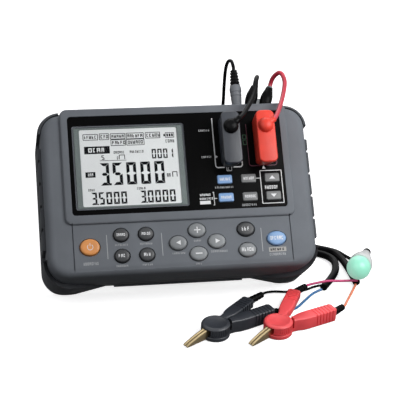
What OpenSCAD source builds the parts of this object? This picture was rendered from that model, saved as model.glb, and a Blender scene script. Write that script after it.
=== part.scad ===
// Micro ohmmeter leaning on its stand, with four-terminal clip leads and a result lamp plugged in.
// Lengths are in millimetres. The meter is drawn lying on its back, then leaned back as a whole.

/* [Meter] */
// Width over the rubber protector
body_w = 192; // [184:1:210]
// Height of the face over the protector
body_h = 121; // [118:1:132]
// Depth from the flat back to the key face
face_z = 53; // [51:0.5:60]
// Angle at which the face leans back from level
tilt = 48.6; // [44:0.2:54]
// Depth of the rear shell, where the two shells meet
split_z = 22; // [21:0.5:25]
// Wall of the plastic shells
wall = 2.2; // [1.8:0.1:2.6]
// Radius of the shells' corners
case_r = 14; // [10:1:16]

/* [Protector] */
// Thickness of the rubber at the sides
side_rubber = 2.3; // [2:0.1:3]
// Thickness of the rubber at the lower edge
foot_rubber = 3.3; // [3:0.1:4.5]
// Thickness of the rubber at the upper edge
top_rubber = 2.3; // [2:0.1:3]
// Height of the corner bumpers from the back
bumper_z = 50; // [48:0.5:51]
// Height of the ribbed side bands from the back
band_z = 45; // [40:0.5:46]
// Height cut from the lower rear edge so that it stands flat
rest_cut = 1.5; // [1:0.1:2]
// Distance between the ribs of the side bands
rib_pitch = 16.3; // [14:0.1:18]

/* [Display and panel] */
// Share of the width that the black panel takes
panel_w_share = 0.78125; // [0.76:0.005:0.8]
// Share of the height that the black panel takes
panel_h_share = 0.5818; // [0.57:0.005:0.585]
// Rise of the frame around the panel above the key face
frame_rise = 2; // [1.6:0.1:2.4]
// Margin of the raised frame around the panel
frame_margin = 5.2; // [4.5:0.1:5.4]
// Thickness of the panel sheet and the window
panel_t = 0.8; // [0.6:0.1:1]
// Share of the width that the display opening takes
window_w_share = 0.4083; // [0.39:0.005:0.415]
// Share of the height that the display opening takes
window_h_share = 0.4959; // [0.47:0.005:0.51]

/* [Keys] */
// Travel of a key
key_travel = 1.2; // [0.8:0.1:1.5]
// Height of a round key above the face
key_rise = 2; // [1.5:0.1:2.5]
// Height of a square key above the panel
square_key_rise = 1.2; // [0.8:0.1:1.6]
// Gap between a key and its hole
key_gap = 0.25; // [0.2:0.05:0.4]
// Width of the power key
power_key_w = 13.4; // [12:0.1:14]
// Width of a small dark key
small_key_w = 10.4; // [9.5:0.1:11]
// Width of a light grey key
grey_key_w = 12.2; // [11:0.1:12.6]
// Width of a square key
square_key_w = 10.5; // [9.5:0.1:11]
// Height of a square key
square_key_h = 6.2; // [5.6:0.1:6.8]

/* [Terminals] */
// Distance between the two pins of a plug
pin_pitch = 19; // [18:0.1:20]
// Radius of a plug pin
pin_r = 2; // [1.8:0.05:2.2]
// Width of a plug body
plug_w = 11; // [10:0.1:12]
// Length of a plug body
plug_l = 35; // [33:0.1:36]
// Height of a plug body above the panel
plug_h = 19; // [17:0.1:21]
// Bore radius of the small round jacks
jack_r = 1.8; // [1.7:0.01:1.9]

/* [Stand and batteries] */
// Distance from the stand's hinge to its round tip
stand_l = 50.5; // [49.5:0.1:51]
// Width of the stand
stand_w = 62; // [56:1:64]
// Thickness of the stand
stand_t = 3.2; // [2.8:0.1:3.4]
// Height of the hinge line on the back
hinge_y = 66; // [65.8:0.1:66.4]
// Diameter of a battery cell
cell_d = 14.5; // [13.5:0.1:14.5]
// Length of a battery cell
cell_l = 50.5; // [49:0.1:50.5]

/* [Clips] */
// Radius of the clip's drum
drum_r = 10; // [9.5:0.1:10.2]
// Height of the clip's drum
drum_h = 10; // [9.5:0.1:11]
// Reach of the jaws from the pivot
jaw_reach = 27; // [24:0.5:29]
// Thickness of one jaw plate
jaw_t = 2.2; // [1.8:0.1:2.4]
// Width of a handle at its end
handle_w = 8.4; // [7.6:0.1:8.8]

/* [Cords] */
// Diameter of the two short cords from the plugs
branch_d = 3.2; // [3:0.1:3.4]
// Diameter of the main cord
main_d = 6; // [5.6:0.1:6.2]
// Diameter of the two legs near the clips
leg_d = 5.5; // [5:0.1:5.6]
// Diameter of the single wires at the clips
wire_d = 1.8; // [1.6:0.1:1.9]
// Diameter of the lamp's cord
lamp_d = 2.5; // [2.2:0.1:2.6]
// Turns of the main cord's coil
main_turns = 4.5;
// Turns of the lamp cord's coil
lamp_turns = 15.75;

/* [Lamp] */
// Radius of the lamp's dome
dome_r = 9.2; // [8.8:0.1:9.3]
// Radius of the lamp's housing
housing_r = 7.4; // [6.8:0.1:7.8]

/* [Hidden] */

// Clearances and overruns that several pieces share
seat_gap = 0.3;
fit_gap = 0.05;
over = 1;

// Outline of the shells inside the rubber
case_w = body_w - 2 * side_rubber - 2 * fit_gap;
case_low = foot_rubber + fit_gap;
case_high = body_h - top_rubber - fit_gap;
outer_r = case_r + side_rubber;
edge_round = 6;
frame_depth = 8;

// Lower rear edge, tapered between the two feet of the rubber
taper_z = 11.5;
taper_y = 2.9;
foot_full = body_w * 0.396;
foot_end = body_w * 0.271;
foot_side = body_w * 0.47;
foot_turn = body_w * 0.427;
foot_side_z = 37;
foot_turn_z = 30;
foot_end_z = 13.5;
bumper_side_z = 44;

frame_corner = 4;
frame_edge = 1.2;
panel_corner = 2.5;
window_corner = 1.5;
key_corner = 1;
least_corner = 1;

// Levels inside the meter, from the back
frame_z = face_z + frame_rise;
panel_drop = 1;
panel_z = frame_z - panel_drop;
panel_floor_z = panel_z - panel_t;
plate_z = face_z - wall;
flange_t = 1;
flange_lip = 0.9;
mat_t = 1.2;
board_t = 1.6;
mat_z = plate_z - flange_t - key_travel - seat_gap - mat_t;
board_z = mat_z - board_t;
board_margin = 6;

// Places on the face, as shares of its width and height
panel_w = body_w * panel_w_share;
panel_h = body_h * panel_h_share;
panel_low = body_h * 0.3719;
frame_foot = 1;
frame_low = panel_low - frame_margin - frame_foot;
window_w = body_w * window_w_share;
window_h = body_h * window_h_share;
window_seat = 1;
display_margin = 3;
display_drop = 0.6;
window_x = -body_w * 0.172;
window_y = body_h * 0.651;
key_column_shares = [-0.336, -0.2235, -0.1345, -0.021, 0.05, 0.119, 0.2285, 0.3385];
key_row_shares = [0.1305, 0.189, 0.251, 0.122, 0.258];
square_column_shares = [0.1667, 0.2547, 0.3422];
square_row_shares = [0.5479, 0.4405];
column = [for (share = key_column_shares) share * body_w];
row = [for (share = key_row_shares) share * body_h];
square_column = [for (share = square_column_shares) share * body_w];
square_row = [for (share = square_row_shares) share * body_h];
power_key_h = power_key_w * 0.86;
small_key_h = small_key_w * 0.9;
grey_key_h = grey_key_w * 0.82;
seam_x = body_w * 0.394;
seam_w = 0.8;
seam_depth = 0.6;

// Every round key: name, place, width and height
round_keys = [
    [column[0], row[1], power_key_w, power_key_h],
    [column[1], row[2], small_key_w, small_key_h],
    [column[2], row[2], small_key_w, small_key_h],
    [column[1], row[0], small_key_w, small_key_h],
    [column[2], row[0], small_key_w, small_key_h],
    [column[3], row[1], grey_key_w, grey_key_h],
    [column[5], row[1], grey_key_w, grey_key_h],
    [column[4], row[4], grey_key_w, grey_key_h],
    [column[4], row[3], grey_key_w, grey_key_h],
    [column[6], row[2], grey_key_w, grey_key_h],
    [column[6], row[0], grey_key_w, grey_key_h],
    [column[7], row[1], power_key_w, grey_key_h]];
square_keys = [for (x = square_column, y = square_row) [x, y]];

// Terminals and jacks
terminal_x_shares = [0.189, 0.317];
terminal_x = [for (share = terminal_x_shares) share * body_w];
terminal_y = body_h * 0.769;
socket_r = 5.4;
socket_depth = 22;
pin_l = 17;
jack_z = 41;
jack_body = 8;
jack_l = 12;
lamp_jack_x = body_w * 0.2516;
spare_jack_x = body_w * 0.1;
jack_bush_r = 3;

// Batteries and their bay in the back
cover_t = 2;
cell_gap = 0.1;
bay_side = 0.8;
bay_foot = 2.65;
bay_w = 8 * (cell_d + cell_gap) + 2 * bay_side;
bay_low = case_low + wall + bay_foot;
contact_t = 0.85;
bay_l = cell_l + 2 * (contact_t + seat_gap);
bay_z = cover_t + 2 * seat_gap + cell_d;
bay_wall = 1.4;
cover_rim = 7.6;
cover_y_rim = 1;
cell_z = cover_t + seat_gap + cell_d / 2;

// Screws
screw_r = 1.5;
screw_head_r = 2.8;
screw_head_t = 2;
screw_inset = 0.4;
screw_grip = 8;
cover_screw_r = 1.25;
cover_screw_head_r = 2.3;
cover_screw_head_t = 1.2;
boss_r = 4;
boss_inset = 7.5;

// Stand: hinge line, open angle and recess in the back
hinge_z = 3;
barrel_r = 2.6;
trunnion_r = 1.5;
trunnion_l = 2.4;
tip_r = stand_t / 2;
hinge_height = hinge_y * sin(tilt) + hinge_z * cos(tilt) - rest_cut;
stand_slope = asin((hinge_height - tip_r) / stand_l);
stand_open = tilt + stand_slope;
recess_roof = 0.5;
recess_gap = 0.8;
leg_turn = stand_open - 90;
recess_foot = (hinge_z + tip_r * sin(leg_turn)) * tan(leg_turn) + tip_r * cos(leg_turn) + recess_gap;
recess_z = hinge_z + barrel_r + recess_roof;
recess_low = hinge_y - recess_foot;

// The meter leans back about its lower rear edge, over the middle of its footprint
bumper_round = 3;
lip_y = case_low + edge_round * (1 - cos(60));
lip_z = face_z - edge_round * (1 - sin(60));
front_reach = lip_z * sin(tilt) - lip_y * cos(tilt);
meter_y = (front_reach - body_h * cos(tilt)) / 2;

module in_meter() {
    translate([0, meter_y, -rest_cut])
        rotate([tilt, 0, 0])
            children();
}

// Flat outlines

module rounded(width, low, high, radius) {
    half = width / 2;
    union() {
        translate([-half + radius, low])
            square([width - 2 * radius, high - low]);
        translate([-half, low + radius])
            square([width, high - low - 2 * radius]);
        for (x = [-half + radius, half - radius], y = [low + radius, high - radius])
            translate([x, y])
                circle(r = radius, $fn = 48);
    }
}

module oval(width, height) {
    polygon([for (a = [0 : 10 : 350]) [width / 2 * cos(a), height / 2 * sin(a)]]);
}

module key_square(grow) {
    rounded(square_key_w + 2 * grow, -square_key_h / 2 - grow, square_key_h / 2 + grow, key_corner + grow);
}

module slab(low, high) {
    translate([0, 0, low])
        linear_extrude(high - low)
            children();
}

// A shell's outer body whose front edge is rounded in steps
module rounded_body(width, low, high, radius, base, top, round_r) {
    step = 0.01;
    hull()
        for (a = [0 : 30 : 90]) {
            inset = round_r * (1 - cos(a));
            level = top - round_r + round_r * sin(a);
            slab(a == 0 ? base : level - step, level)
                rounded(width - 2 * inset, low + inset, high - inset, max(radius - inset, least_corner));
        }
}

// Meter casings

module key_holes(gap) {
    for (key = round_keys)
        translate([key[0], key[1]])
            oval(key[2] + 2 * gap, key[3] + 2 * gap);
    for (key = square_keys)
        translate(key)
            key_square(gap);
}

module window_outline(gap) {
    translate([window_x, window_y])
        rounded(window_w + 2 * gap, -window_h / 2 - gap, window_h / 2 + gap, window_corner);
}

module panel_outline(gap) {
    rounded(panel_w + 2 * gap, panel_low - gap, panel_low + panel_h + gap, panel_corner);
}

module terminal_places() {
    for (x = terminal_x, side = [-1, 1])
        translate([x, terminal_y + side * pin_pitch / 2])
            children();
}

module screw_places() {
    for (x = [-1, 1], y = [case_low + boss_inset, case_high - boss_inset])
        translate([x * (case_w / 2 - boss_inset), y])
            children();
}

module top_hole(x, radius) {
    translate([x, case_high + over, jack_z])
        rotate([90, 0, 0])
            cylinder(r = radius, h = wall + 2 * over, $fn = 48);
}

module front_case() {
    color("#6a6e72")
    in_meter()
        difference() {
            union() {
                difference() {
                    rounded_body(case_w, case_low, case_high, case_r, split_z, face_z, edge_round);
                    slab(split_z - over, plate_z)
                        rounded(case_w - 2 * wall, case_low + wall, case_high - wall, case_r - wall);
                }
                intersection() {
                    slab(split_z, plate_z)
                        screw_places() circle(r = boss_r, $fn = 40);
                    slab(split_z, plate_z)
                        rounded(case_w - wall, case_low + wall / 2, case_high - wall / 2, case_r);
                }
                rounded_body(panel_w + 2 * frame_margin, frame_low, body_h, frame_corner,
                    face_z - wall, frame_z, frame_edge);
            }
            slab(panel_floor_z, frame_z + over)
                panel_outline(fit_gap);
            slab(plate_z - over, frame_z + over) {
                key_holes(key_gap);
                window_outline(-window_seat);
            }
            slab(plate_z - over, frame_z + over)
                terminal_places() circle(r = socket_r + fit_gap, $fn = 48);
            slab(split_z - over, split_z + screw_grip)
                screw_places() circle(r = screw_r + fit_gap, $fn = 32);
            top_hole(lamp_jack_x, jack_bush_r + fit_gap);
            top_hole(spare_jack_x, jack_bush_r + fit_gap);
            for (side = [-1, 1])
                translate([side * seam_x - seam_w / 2, case_low - over, face_z - seam_depth])
                    cube([seam_w, frame_low - case_low, seam_depth + over]);
        }
}

module recess_outline() {
    translate([-stand_w / 2 - recess_gap, recess_low])
        square([stand_w + 2 * recess_gap, hinge_y + stand_l + tip_r + recess_gap - recess_low]);
}

// Upright prism through the lower side, from its outline across and out of the back
module lower_prism(depth) {
    translate([0, depth, 0])
        rotate([90, 0, 0])
            linear_extrude(depth + over)
                children();
}

module rear_case() {
    cover_low = bay_low - cover_y_rim;
    cover_high = bay_low + bay_l + cover_y_rim;
    color("#45484b")
    in_meter()
        difference() {
            union() {
                difference() {
                    slab(0, split_z)
                        rounded(case_w, case_low, case_high, case_r);
                    slab(wall, split_z + over)
                        rounded(case_w - 2 * wall, case_low + wall, case_high - wall, case_r - wall);
                }
                slab(0, split_z)
                    screw_places() circle(r = boss_r, $fn = 40);
                slab(0, taper_z + wall)
                    translate([-foot_full - wall, case_low])
                        square([2 * (foot_full + wall), taper_y + wall]);
                slab(0, bay_z + bay_wall)
                    translate([-bay_w / 2 - cover_rim - bay_wall, bay_low - bay_wall])
                        square([bay_w + 2 * (cover_rim + bay_wall), bay_l + 2 * bay_wall]);
                intersection() {
                    slab(0, recess_z + wall)
                        translate([-stand_w / 2 - recess_gap - wall, recess_low])
                            square([stand_w + 2 * (recess_gap + wall), body_h]);
                    slab(0, recess_z + wall)
                        rounded(case_w, case_low, case_high, case_r);
                }
            }
            translate([-foot_full, 0, 0])
                rotate([90, 0, 90])
                    linear_extrude(2 * foot_full)
                        polygon([[0, -over], [0, taper_z], [case_low, taper_z],
                            [case_low + taper_y, 0], [case_low + taper_y, -over]]);
            slab(-over, bay_z)
                translate([-bay_w / 2, bay_low])
                    square([bay_w, bay_l]);
            slab(-over, cover_t)
                translate([-bay_w / 2 - cover_rim, cover_low])
                    square([bay_w + 2 * cover_rim, cover_high - cover_low]);
            slab(-over, recess_z)
                recess_outline();
            trunnion_pair(trunnion_r + fit_gap, trunnion_l + seat_gap);
            slab(-over, split_z + over)
                screw_places() circle(r = screw_r + fit_gap, $fn = 32);
            slab(-over, screw_head_t)
                screw_places() circle(r = screw_head_r + fit_gap, $fn = 40);
            cover_screw_places()
                cylinder(r = cover_screw_r + fit_gap, h = screw_grip, $fn = 32);
        }
}

module cover_screw_places() {
    for (side = [-1, 1])
        translate([side * (bay_w / 2 + cover_rim / 2), bay_low + bay_l / 2, 0])
            children();
}

module battery_cover() {
    cover_low = bay_low - cover_y_rim + seat_gap / 2;
    cover_l = bay_l + 2 * cover_y_rim - seat_gap;
    cover_w = bay_w + 2 * cover_rim - seat_gap;
    rib_w = 1.2;
    rib_deep = 0.6;
    color("#3c3f42")
    in_meter()
        difference() {
            translate([-cover_w / 2, cover_low, 0])
                cube([cover_w, cover_l, cover_t]);
            cover_screw_places()
                translate([0, 0, -over])
                    cylinder(r = cover_screw_r + 2 * fit_gap, h = cover_t + 2 * over, $fn = 32);
            cover_screw_places()
                translate([0, 0, -over])
                    cylinder(r = cover_screw_head_r + fit_gap, h = over + cover_screw_head_t, $fn = 40);
            for (i = [-3 : 3])
                translate([-cell_d / 2, bay_low + 3 * i * rib_w + bay_l / 2, -over])
                    cube([cell_d, rib_w, over + rib_deep]);
        }
}

module protector() {
    corner_w = 38;
    foot_drop = 1;
    centre_w = body_w - 2 * corner_w;
    slot_shares = [0.136, 0.198, 0.793, 0.872];
    slot = [for (share = slot_shares) share * body_h];
    notch_deep = 1.2;
    notch_w = 2;
    color("#2e3033")
    difference() {
        in_meter()
            difference() {
                rounded_body(body_w, 0, body_h, outer_r, 0, bumper_z, bumper_round);
                slab(-over, bumper_z + over)
                    rounded(case_w + 2 * fit_gap, case_low - fit_gap, case_high + fit_gap, case_r);
                slab(split_z, bumper_z + over) {
                    translate([-centre_w / 2, -over])
                        square([centre_w, body_h + 2 * over]);
                    for (i = [0, 2])
                        translate([-body_w, slot[i]])
                            square([2 * body_w, slot[i + 1] - slot[i]]);
                }
                slab(band_z, bumper_z + over)
                    translate([-body_w, slot[0]])
                        square([2 * body_w, slot[3] - slot[0]]);
                slab(-over, bumper_z)
                    translate([-centre_w / 2, -over])
                        square([centre_w, foot_rubber - foot_drop + over]);
                lower_prism(case_low)
                    polygon([[-foot_full, -over], [-foot_full, 0], [-foot_end, taper_z],
                        [foot_end, taper_z], [foot_full, 0], [foot_full, -over]]);
                lower_prism(outer_r)
                    polygon([[-body_w, bumper_z + over], [-body_w, bumper_side_z],
                        [-body_w / 2, bumper_side_z], [-foot_side, foot_side_z],
                        [-foot_turn, foot_turn_z], [-foot_end, foot_end_z],
                        [foot_end, foot_end_z], [foot_turn, foot_turn_z],
                        [foot_side, foot_side_z], [body_w / 2, bumper_side_z],
                        [body_w, bumper_side_z], [body_w, bumper_z + over]]);
                slab(split_z / 3, bumper_z)
                    for (side = [-1, 1], i = [0 : 3])
                        translate([side * body_w / 2 - notch_deep, body_h * 0.309 + i * rib_pitch])
                            square([2 * notch_deep, notch_w]);
                slab(face_z - wall - frame_depth, bumper_z + over)
                    translate([-panel_w / 2 - frame_margin - seat_gap, body_h / 2])
                        square([panel_w + 2 * (frame_margin + seat_gap), body_h]);
            }
        translate([-body_w, meter_y - body_h, -body_h])
            cube([2 * body_w, 2 * body_h, body_h]);
    }
}

// Panel, display and electronics

module panel_overlay() {
    color("#101113")
    in_meter()
        slab(panel_floor_z, panel_z)
            difference() {
                panel_outline(0);
                window_outline(fit_gap);
                for (key = square_keys)
                    translate(key)
                        key_square(key_gap);
                terminal_places() circle(r = socket_r + fit_gap, $fn = 48);
            }
}

module display_window() {
    color("#c8d0d2", 0.4)
    in_meter()
        slab(panel_floor_z, panel_z)
            window_outline(0);
}

module display_glass(grow) {
    glass_shares = [0.872, 0.918];
    glass_w = window_w * glass_shares[0] + 2 * grow;
    glass_h = window_h * glass_shares[1] + 2 * grow;
    translate([window_x - glass_w / 2, window_y - glass_h / 2])
        square([glass_w, glass_h]);
}

module display_module() {
    color("#8b918b")
    in_meter()
        difference() {
            union() {
                slab(mat_z, plate_z - seat_gap)
                    window_outline(display_margin);
                slab(mat_z, panel_floor_z - seat_gap)
                    window_outline(-window_seat - seat_gap);
            }
            slab(mat_z - over, panel_z)
                display_glass(0);
        }
    color("#cfd4cf")
    in_meter()
        slab(mat_z, panel_floor_z - seat_gap - display_drop)
            display_glass(-fit_gap);
}

module main_board() {
    color("#2f6b45")
    in_meter()
        slab(board_z, mat_z)
            difference() {
                rounded(case_w - 2 * wall - board_margin, case_low + wall + board_margin / 2,
                    case_high - wall - board_margin / 2, case_r - wall - board_margin / 2);
                terminal_places() circle(r = socket_r + seat_gap, $fn = 48);
                screw_places() circle(r = boss_r + seat_gap, $fn = 40);
            }
}

module keypad_mat() {
    mat_w = panel_w;
    mat_low = case_low + wall + board_margin;
    square_left = square_column[0] - square_key_w;
    square_high = square_row[0] + square_key_h;
    color("#b9bcbf")
    in_meter() {
        slab(mat_z, mat_z + mat_t) {
            translate([-mat_w / 2, mat_low])
                square([mat_w, frame_low - mat_low]);
            translate([square_left, mat_low])
                square([mat_w / 2 - square_left, square_high - mat_low]);
        }
    }
}

// A key: cap through its hole and flange behind the plate
module key_on(place) {
    in_meter()
        translate([place[0], place[1], 0])
            children();
}

module round_key(i) {
    key = round_keys[i];
    key_on(key) {
        slab(plate_z - fit_gap, face_z + key_rise)
            oval(key[2], key[3]);
        slab(plate_z - flange_t, plate_z)
            oval(key[2] + 2 * flange_lip, key[3] + 2 * flange_lip);
    }
}

module square_key(i) {
    key_on(square_keys[i]) {
        slab(plate_z - fit_gap, panel_z + square_key_rise)
            key_square(0);
        slab(plate_z - flange_t, plate_z)
            key_square(flange_lip);
    }
}

module battery_cells() {
    nub_r = 2.7;
    nub_l = 0.2;
    color("#b08d3c")
    in_meter()
        for (i = [0 : 7]) {
            flip = i % 2;
            translate([(i - 3.5) * (cell_d + cell_gap), bay_low + contact_t + seat_gap, cell_z])
                rotate([-90, 0, 0]) {
                    translate([0, 0, nub_l])
                        cylinder(d = cell_d, h = cell_l - 2 * nub_l, $fn = 64);
                    translate([0, 0, flip ? cell_l - nub_l : 0])
                        cylinder(r = nub_r, h = nub_l, $fn = 32);
                }
        }
}

module battery_contacts() {
    plate = cell_d * 0.6;
    color("#c9ccd0")
    in_meter()
        for (i = [0 : 7], y = [bay_low, bay_low + bay_l - contact_t])
            translate([(i - 3.5) * (cell_d + cell_gap) - plate / 2, y, cell_z - plate / 2])
                cube([plate, contact_t, plate]);
}

module terminal_sockets() {
    color("#1b1c1e")
    in_meter()
        slab(panel_z - socket_depth, panel_z)
            terminal_places()
                difference() {
                    circle(r = socket_r, $fn = 48);
                    circle(r = pin_r + fit_gap, $fn = 48);
                }
}

module top_jacks() {
    color("#1b1c1e")
    in_meter()
        for (x = [lamp_jack_x, spare_jack_x])
            difference() {
                union() {
                    translate([x, case_high, jack_z])
                        rotate([90, 0, 0])
                            cylinder(r = jack_bush_r, h = jack_l, $fn = 48);
                    translate([x - jack_body / 2, case_high - wall - jack_l, board_z - jack_body])
                        cube([jack_body, jack_l, jack_body]);
                }
                translate([x, case_high + over, jack_z])
                    rotate([90, 0, 0])
                        cylinder(r = jack_r, h = jack_l + over, $fn = 48);
            }
}

module case_screws() {
    color("#9a9da1")
    in_meter() {
        screw_places() {
            translate([0, 0, screw_inset])
                cylinder(r = screw_head_r, h = screw_head_t - screw_inset, $fn = 40);
            translate([0, 0, screw_head_t - fit_gap])
                cylinder(r = screw_r, h = split_z - screw_head_t + screw_grip - over, $fn = 32);
        }
        cover_screw_places() {
            cylinder(r = cover_screw_head_r, h = cover_screw_head_t, $fn = 40);
            cylinder(r = cover_screw_r, h = screw_grip - over, $fn = 32);
        }
    }
}

// Stand, drawn folded along the back and then swung open

module trunnion_pair(radius, length) {
    for (side = [-1, 1])
        translate([side * (stand_w / 2 + length / 2), hinge_y, hinge_z])
            rotate([0, 90, 0])
                cylinder(r = radius, h = length + 2 * recess_gap, center = true, $fn = 40);
}

module stand() {
    cut_w = stand_w * 0.28;
    cut_l = stand_l * 0.3;
    color("#2b2d30")
    in_meter()
        translate([0, hinge_y, hinge_z])
            rotate([-stand_open, 0, 0])
                difference() {
                    union() {
                        translate([-stand_w / 2, 0, -stand_t / 2])
                            cube([stand_w, stand_l, stand_t]);
                        for (y = [[0, barrel_r], [stand_l, tip_r]])
                            translate([-stand_w / 2, y[0], 0])
                                rotate([0, 90, 0])
                                    cylinder(r = y[1], h = stand_w, $fn = 40);
                        translate([-stand_w / 2 - trunnion_l, 0, 0])
                            rotate([0, 90, 0])
                                cylinder(r = trunnion_r, h = stand_w + 2 * trunnion_l, $fn = 40);
                    }
                    translate([-cut_w / 2, stand_l * 0.35, -stand_t])
                        cube([cut_w, cut_l, 2 * stand_t]);
                }
}

// Plugs in the terminals

module plug_body(x) {
    low = terminal_y - plug_l / 2;
    boot_r = 4.4;
    boot_h = 3.4;
    corner = 2.5;
    taper = 2;
    boot_y = terminal_y + plug_l * 0.18;
    in_meter()
        translate([x, 0, 0]) {
            hull() {
                slab(panel_z, panel_z + plug_h * 0.8)
                    rounded(plug_w, low, low + plug_l, corner);
                slab(panel_z, panel_z + plug_h)
                    rounded(plug_w - taper, low + taper, low + plug_l - taper, taper);
            }
            translate([0, boot_y, panel_z + plug_h - over])
                cylinder(r = boot_r, h = boot_h + over, $fn = 48);
        }
}

// The short sleeve that turns the cord out of the plug's boot
module plug_sleeve(x, way) {
    boot_y = terminal_y + plug_l * 0.18;
    sleeve_rise = 1.8;
    sleeve_root = 1;
    sleeve_tip = 0.6;
    start = meter_point(x, boot_y, panel_z + plug_h + sleeve_rise);
    sleeve(start, way, branch_d / 2 + sleeve_root, branch_d / 2 + sleeve_tip);
}

function meter_point(x, y, z) = [x,
    y * cos(tilt) - z * sin(tilt) + meter_y,
    y * sin(tilt) + z * cos(tilt) - rest_cut];

// A round tapered piece between two points
module sleeve(start, end, r1, r2) {
    step = end - start;
    length = norm(step);
    translate(start)
        rotate([0, acos(step[2] / length), atan2(step[1], step[0])])
            cylinder(r1 = r1, r2 = r2, h = length, $fn = 32);
}

// A straight round rod between two points, with a true round wall
module rod(start, end, radius) {
    sleeve(start, end, radius, radius);
}

module black_plug() {
    color("#2d3036") {
        plug_body(terminal_x[0]);
        plug_sleeve(terminal_x[0], black_branch_route[0]);
    }
}

module red_plug() {
    color("#c23a3f") {
        plug_body(terminal_x[1]);
        plug_sleeve(terminal_x[1], red_branch_route[0]);
    }
}

module plug_pins() {
    color("#d5c27c")
    in_meter()
        terminal_places()
            translate([0, 0, panel_z - pin_l])
                cylinder(r = pin_r, h = pin_l, $fn = 40);
}

lamp_plug_l = 20.5;
lamp_boot_l = 11.8;

module lamp_plug() {
    end_r = 3.9;
    boot_r = 2.9;
    boot_tip = 2;
    color("#8d9194")
    in_meter()
        translate([lamp_jack_x, case_high, jack_z])
            rotate([-90, 0, 0]) {
                translate([0, 0, -jack_l + over])
                    cylinder(r = jack_r - fit_gap, h = jack_l, $fn = 40);
                cylinder(r1 = jack_bush_r, r2 = end_r, h = lamp_plug_l, $fn = 48);
                translate([0, 0, lamp_plug_l])
                    cylinder(r1 = boot_r, r2 = boot_tip, h = lamp_boot_l, $fn = 48);
            }
}

// Junction of the two plug cords and the main cord, lying on the upper edge

module junction_block() {
    block_r = 3.2;
    color("#9b9fa2")
        hull()
            for (side = [-1, 1])
                rod(meter_point(junction_x + side * junction_w / 2, junction_y, junction_front),
                    meter_point(junction_x + side * junction_w / 2, junction_y, junction_back), block_r);
    color("#1b1c1e") {
        sleeve(black_boot_root, black_boot_tip, boot_root_r, boot_tip_r);
        sleeve(red_boot_root, red_boot_tip, boot_root_r, boot_tip_r);
    }
}

junction_rise = 6;
junction_x = body_w * 0.340625;
junction_y = body_h + junction_rise;
junction_w = 7;
junction_front = 39;
junction_back = 26;
boot_root_r = 3.3;
boot_tip_r = 2.6;
boot_drop = 1;
black_boot_reach = 12.6;
red_boot_reach = 10.8;
black_boot_in = -4.4;
black_boot_out = -2;
red_boot_in = 4.6;
red_boot_out = 8.8;
boot_z = junction_front - boot_drop;
black_boot_root = meter_point(junction_x + black_boot_in, junction_y, boot_z);
black_boot_tip = meter_point(junction_x + black_boot_out, junction_y + black_boot_reach, boot_z);
red_boot_root = meter_point(junction_x + red_boot_in, junction_y, boot_z);
red_boot_tip = meter_point(junction_x + red_boot_out, junction_y + red_boot_reach, boot_z);

// Routes of the free cords, each point placed by hand
black_branch_route = [[42.4, -10, 126.4], [46, -4.5, 126.6], [50.6, 4, 127.8], [56.4, 15, 130],
    [60.2, 24, 133], [63, 32.5, 134.8], [64.4, 39, 135], [64.8, 42.8, 133.6], [64.2, 43.2, 131],
    black_boot_tip];
red_branch_route = [[66.8, -10, 124.5], [70.2, -3.5, 125.2], [74.4, 6, 127.2], [78.8, 17, 131],
    [82, 27, 135.8], [82, 33.4, 138.8], [80.4, 37.4, 139.8], [78, 40.2, 137], [76.2, 41.6, 133.2],
    [75.2, 41.6, 129.8],
    red_boot_tip];
main_start = meter_point(junction_x, junction_y, junction_back);
main_route = [main_start, main_start + [0, 6, -5.3], [66, 62, 97], [67, 71, 82], [69, 76, 62],
    [72, 80, 42], [77, 85, 23], [85, 91, 10], [97, 101, 4], [109, 116, 3.2], [116, 131, 3.1]];
main_tail_route = [[43, 125, 9.2], [46, 108, 8.2], [51, 93, 5.4], [58, 74, 3.4], [68, 54, 3.3], [76.5, 43, 4]];
splitter_start = [78.9, 40, 4];
splitter_end = [90.7, 30.8, 3.4];
black_leg_route = [[89, 27.4, 2.8], [94, 22.8, 2.8], [102.5, 16.6, 2.8], [113, 11.4, 2.8],
    [120, 5.2, 2.8], [122.4, -4, 2.8], [118, -19, 2.8], [105.1, -37.6, 2.8]];
red_leg_route = [[92.4, 34.2, 2.8], [97, 29, 2.8], [105, 23.5, 2.8], [114.8, 18.7, 2.8],
    [124.3, 12.8, 2.8], [128.8, 2, 2.8], [130.3, -12, 2.8], [130.9, -33.3, 2.8]];
lamp_start = meter_point(lamp_jack_x, case_high + lamp_plug_l + lamp_boot_l, jack_z);
lamp_route = [lamp_start, lamp_start + [0, 2, 2.3], [47.8, 54.2, 143.2], [46.2, 58.4, 140.9],
    [45.3, 61, 134], [45, 62, 122], [45.4, 65, 104], [44.6, 70, 80], [43, 76, 50], [40.5, 81, 24], [37, 87, 8],
    [32.5, 96, 2], [29, 109, 1.4]];
lamp_tail_route = [[24, 107, 7.4], [33, 107, 4.6], [42, 107, 2.2], [52, 102, 1.4], [66, 88, 1.3],
    [79, 70, 1.3], [89, 51, 1.3], [97.5, 36.5, 1.3], [107, 29, 1.3], [117.5, 24, 1.3],
    [128.5, 16.5, 1.4], [134.2, 7, 1.5], [136.6, -1.5, 3.4], [138, -5.6, 6.2], [139.4, -6.8, 8.2]];

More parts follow.
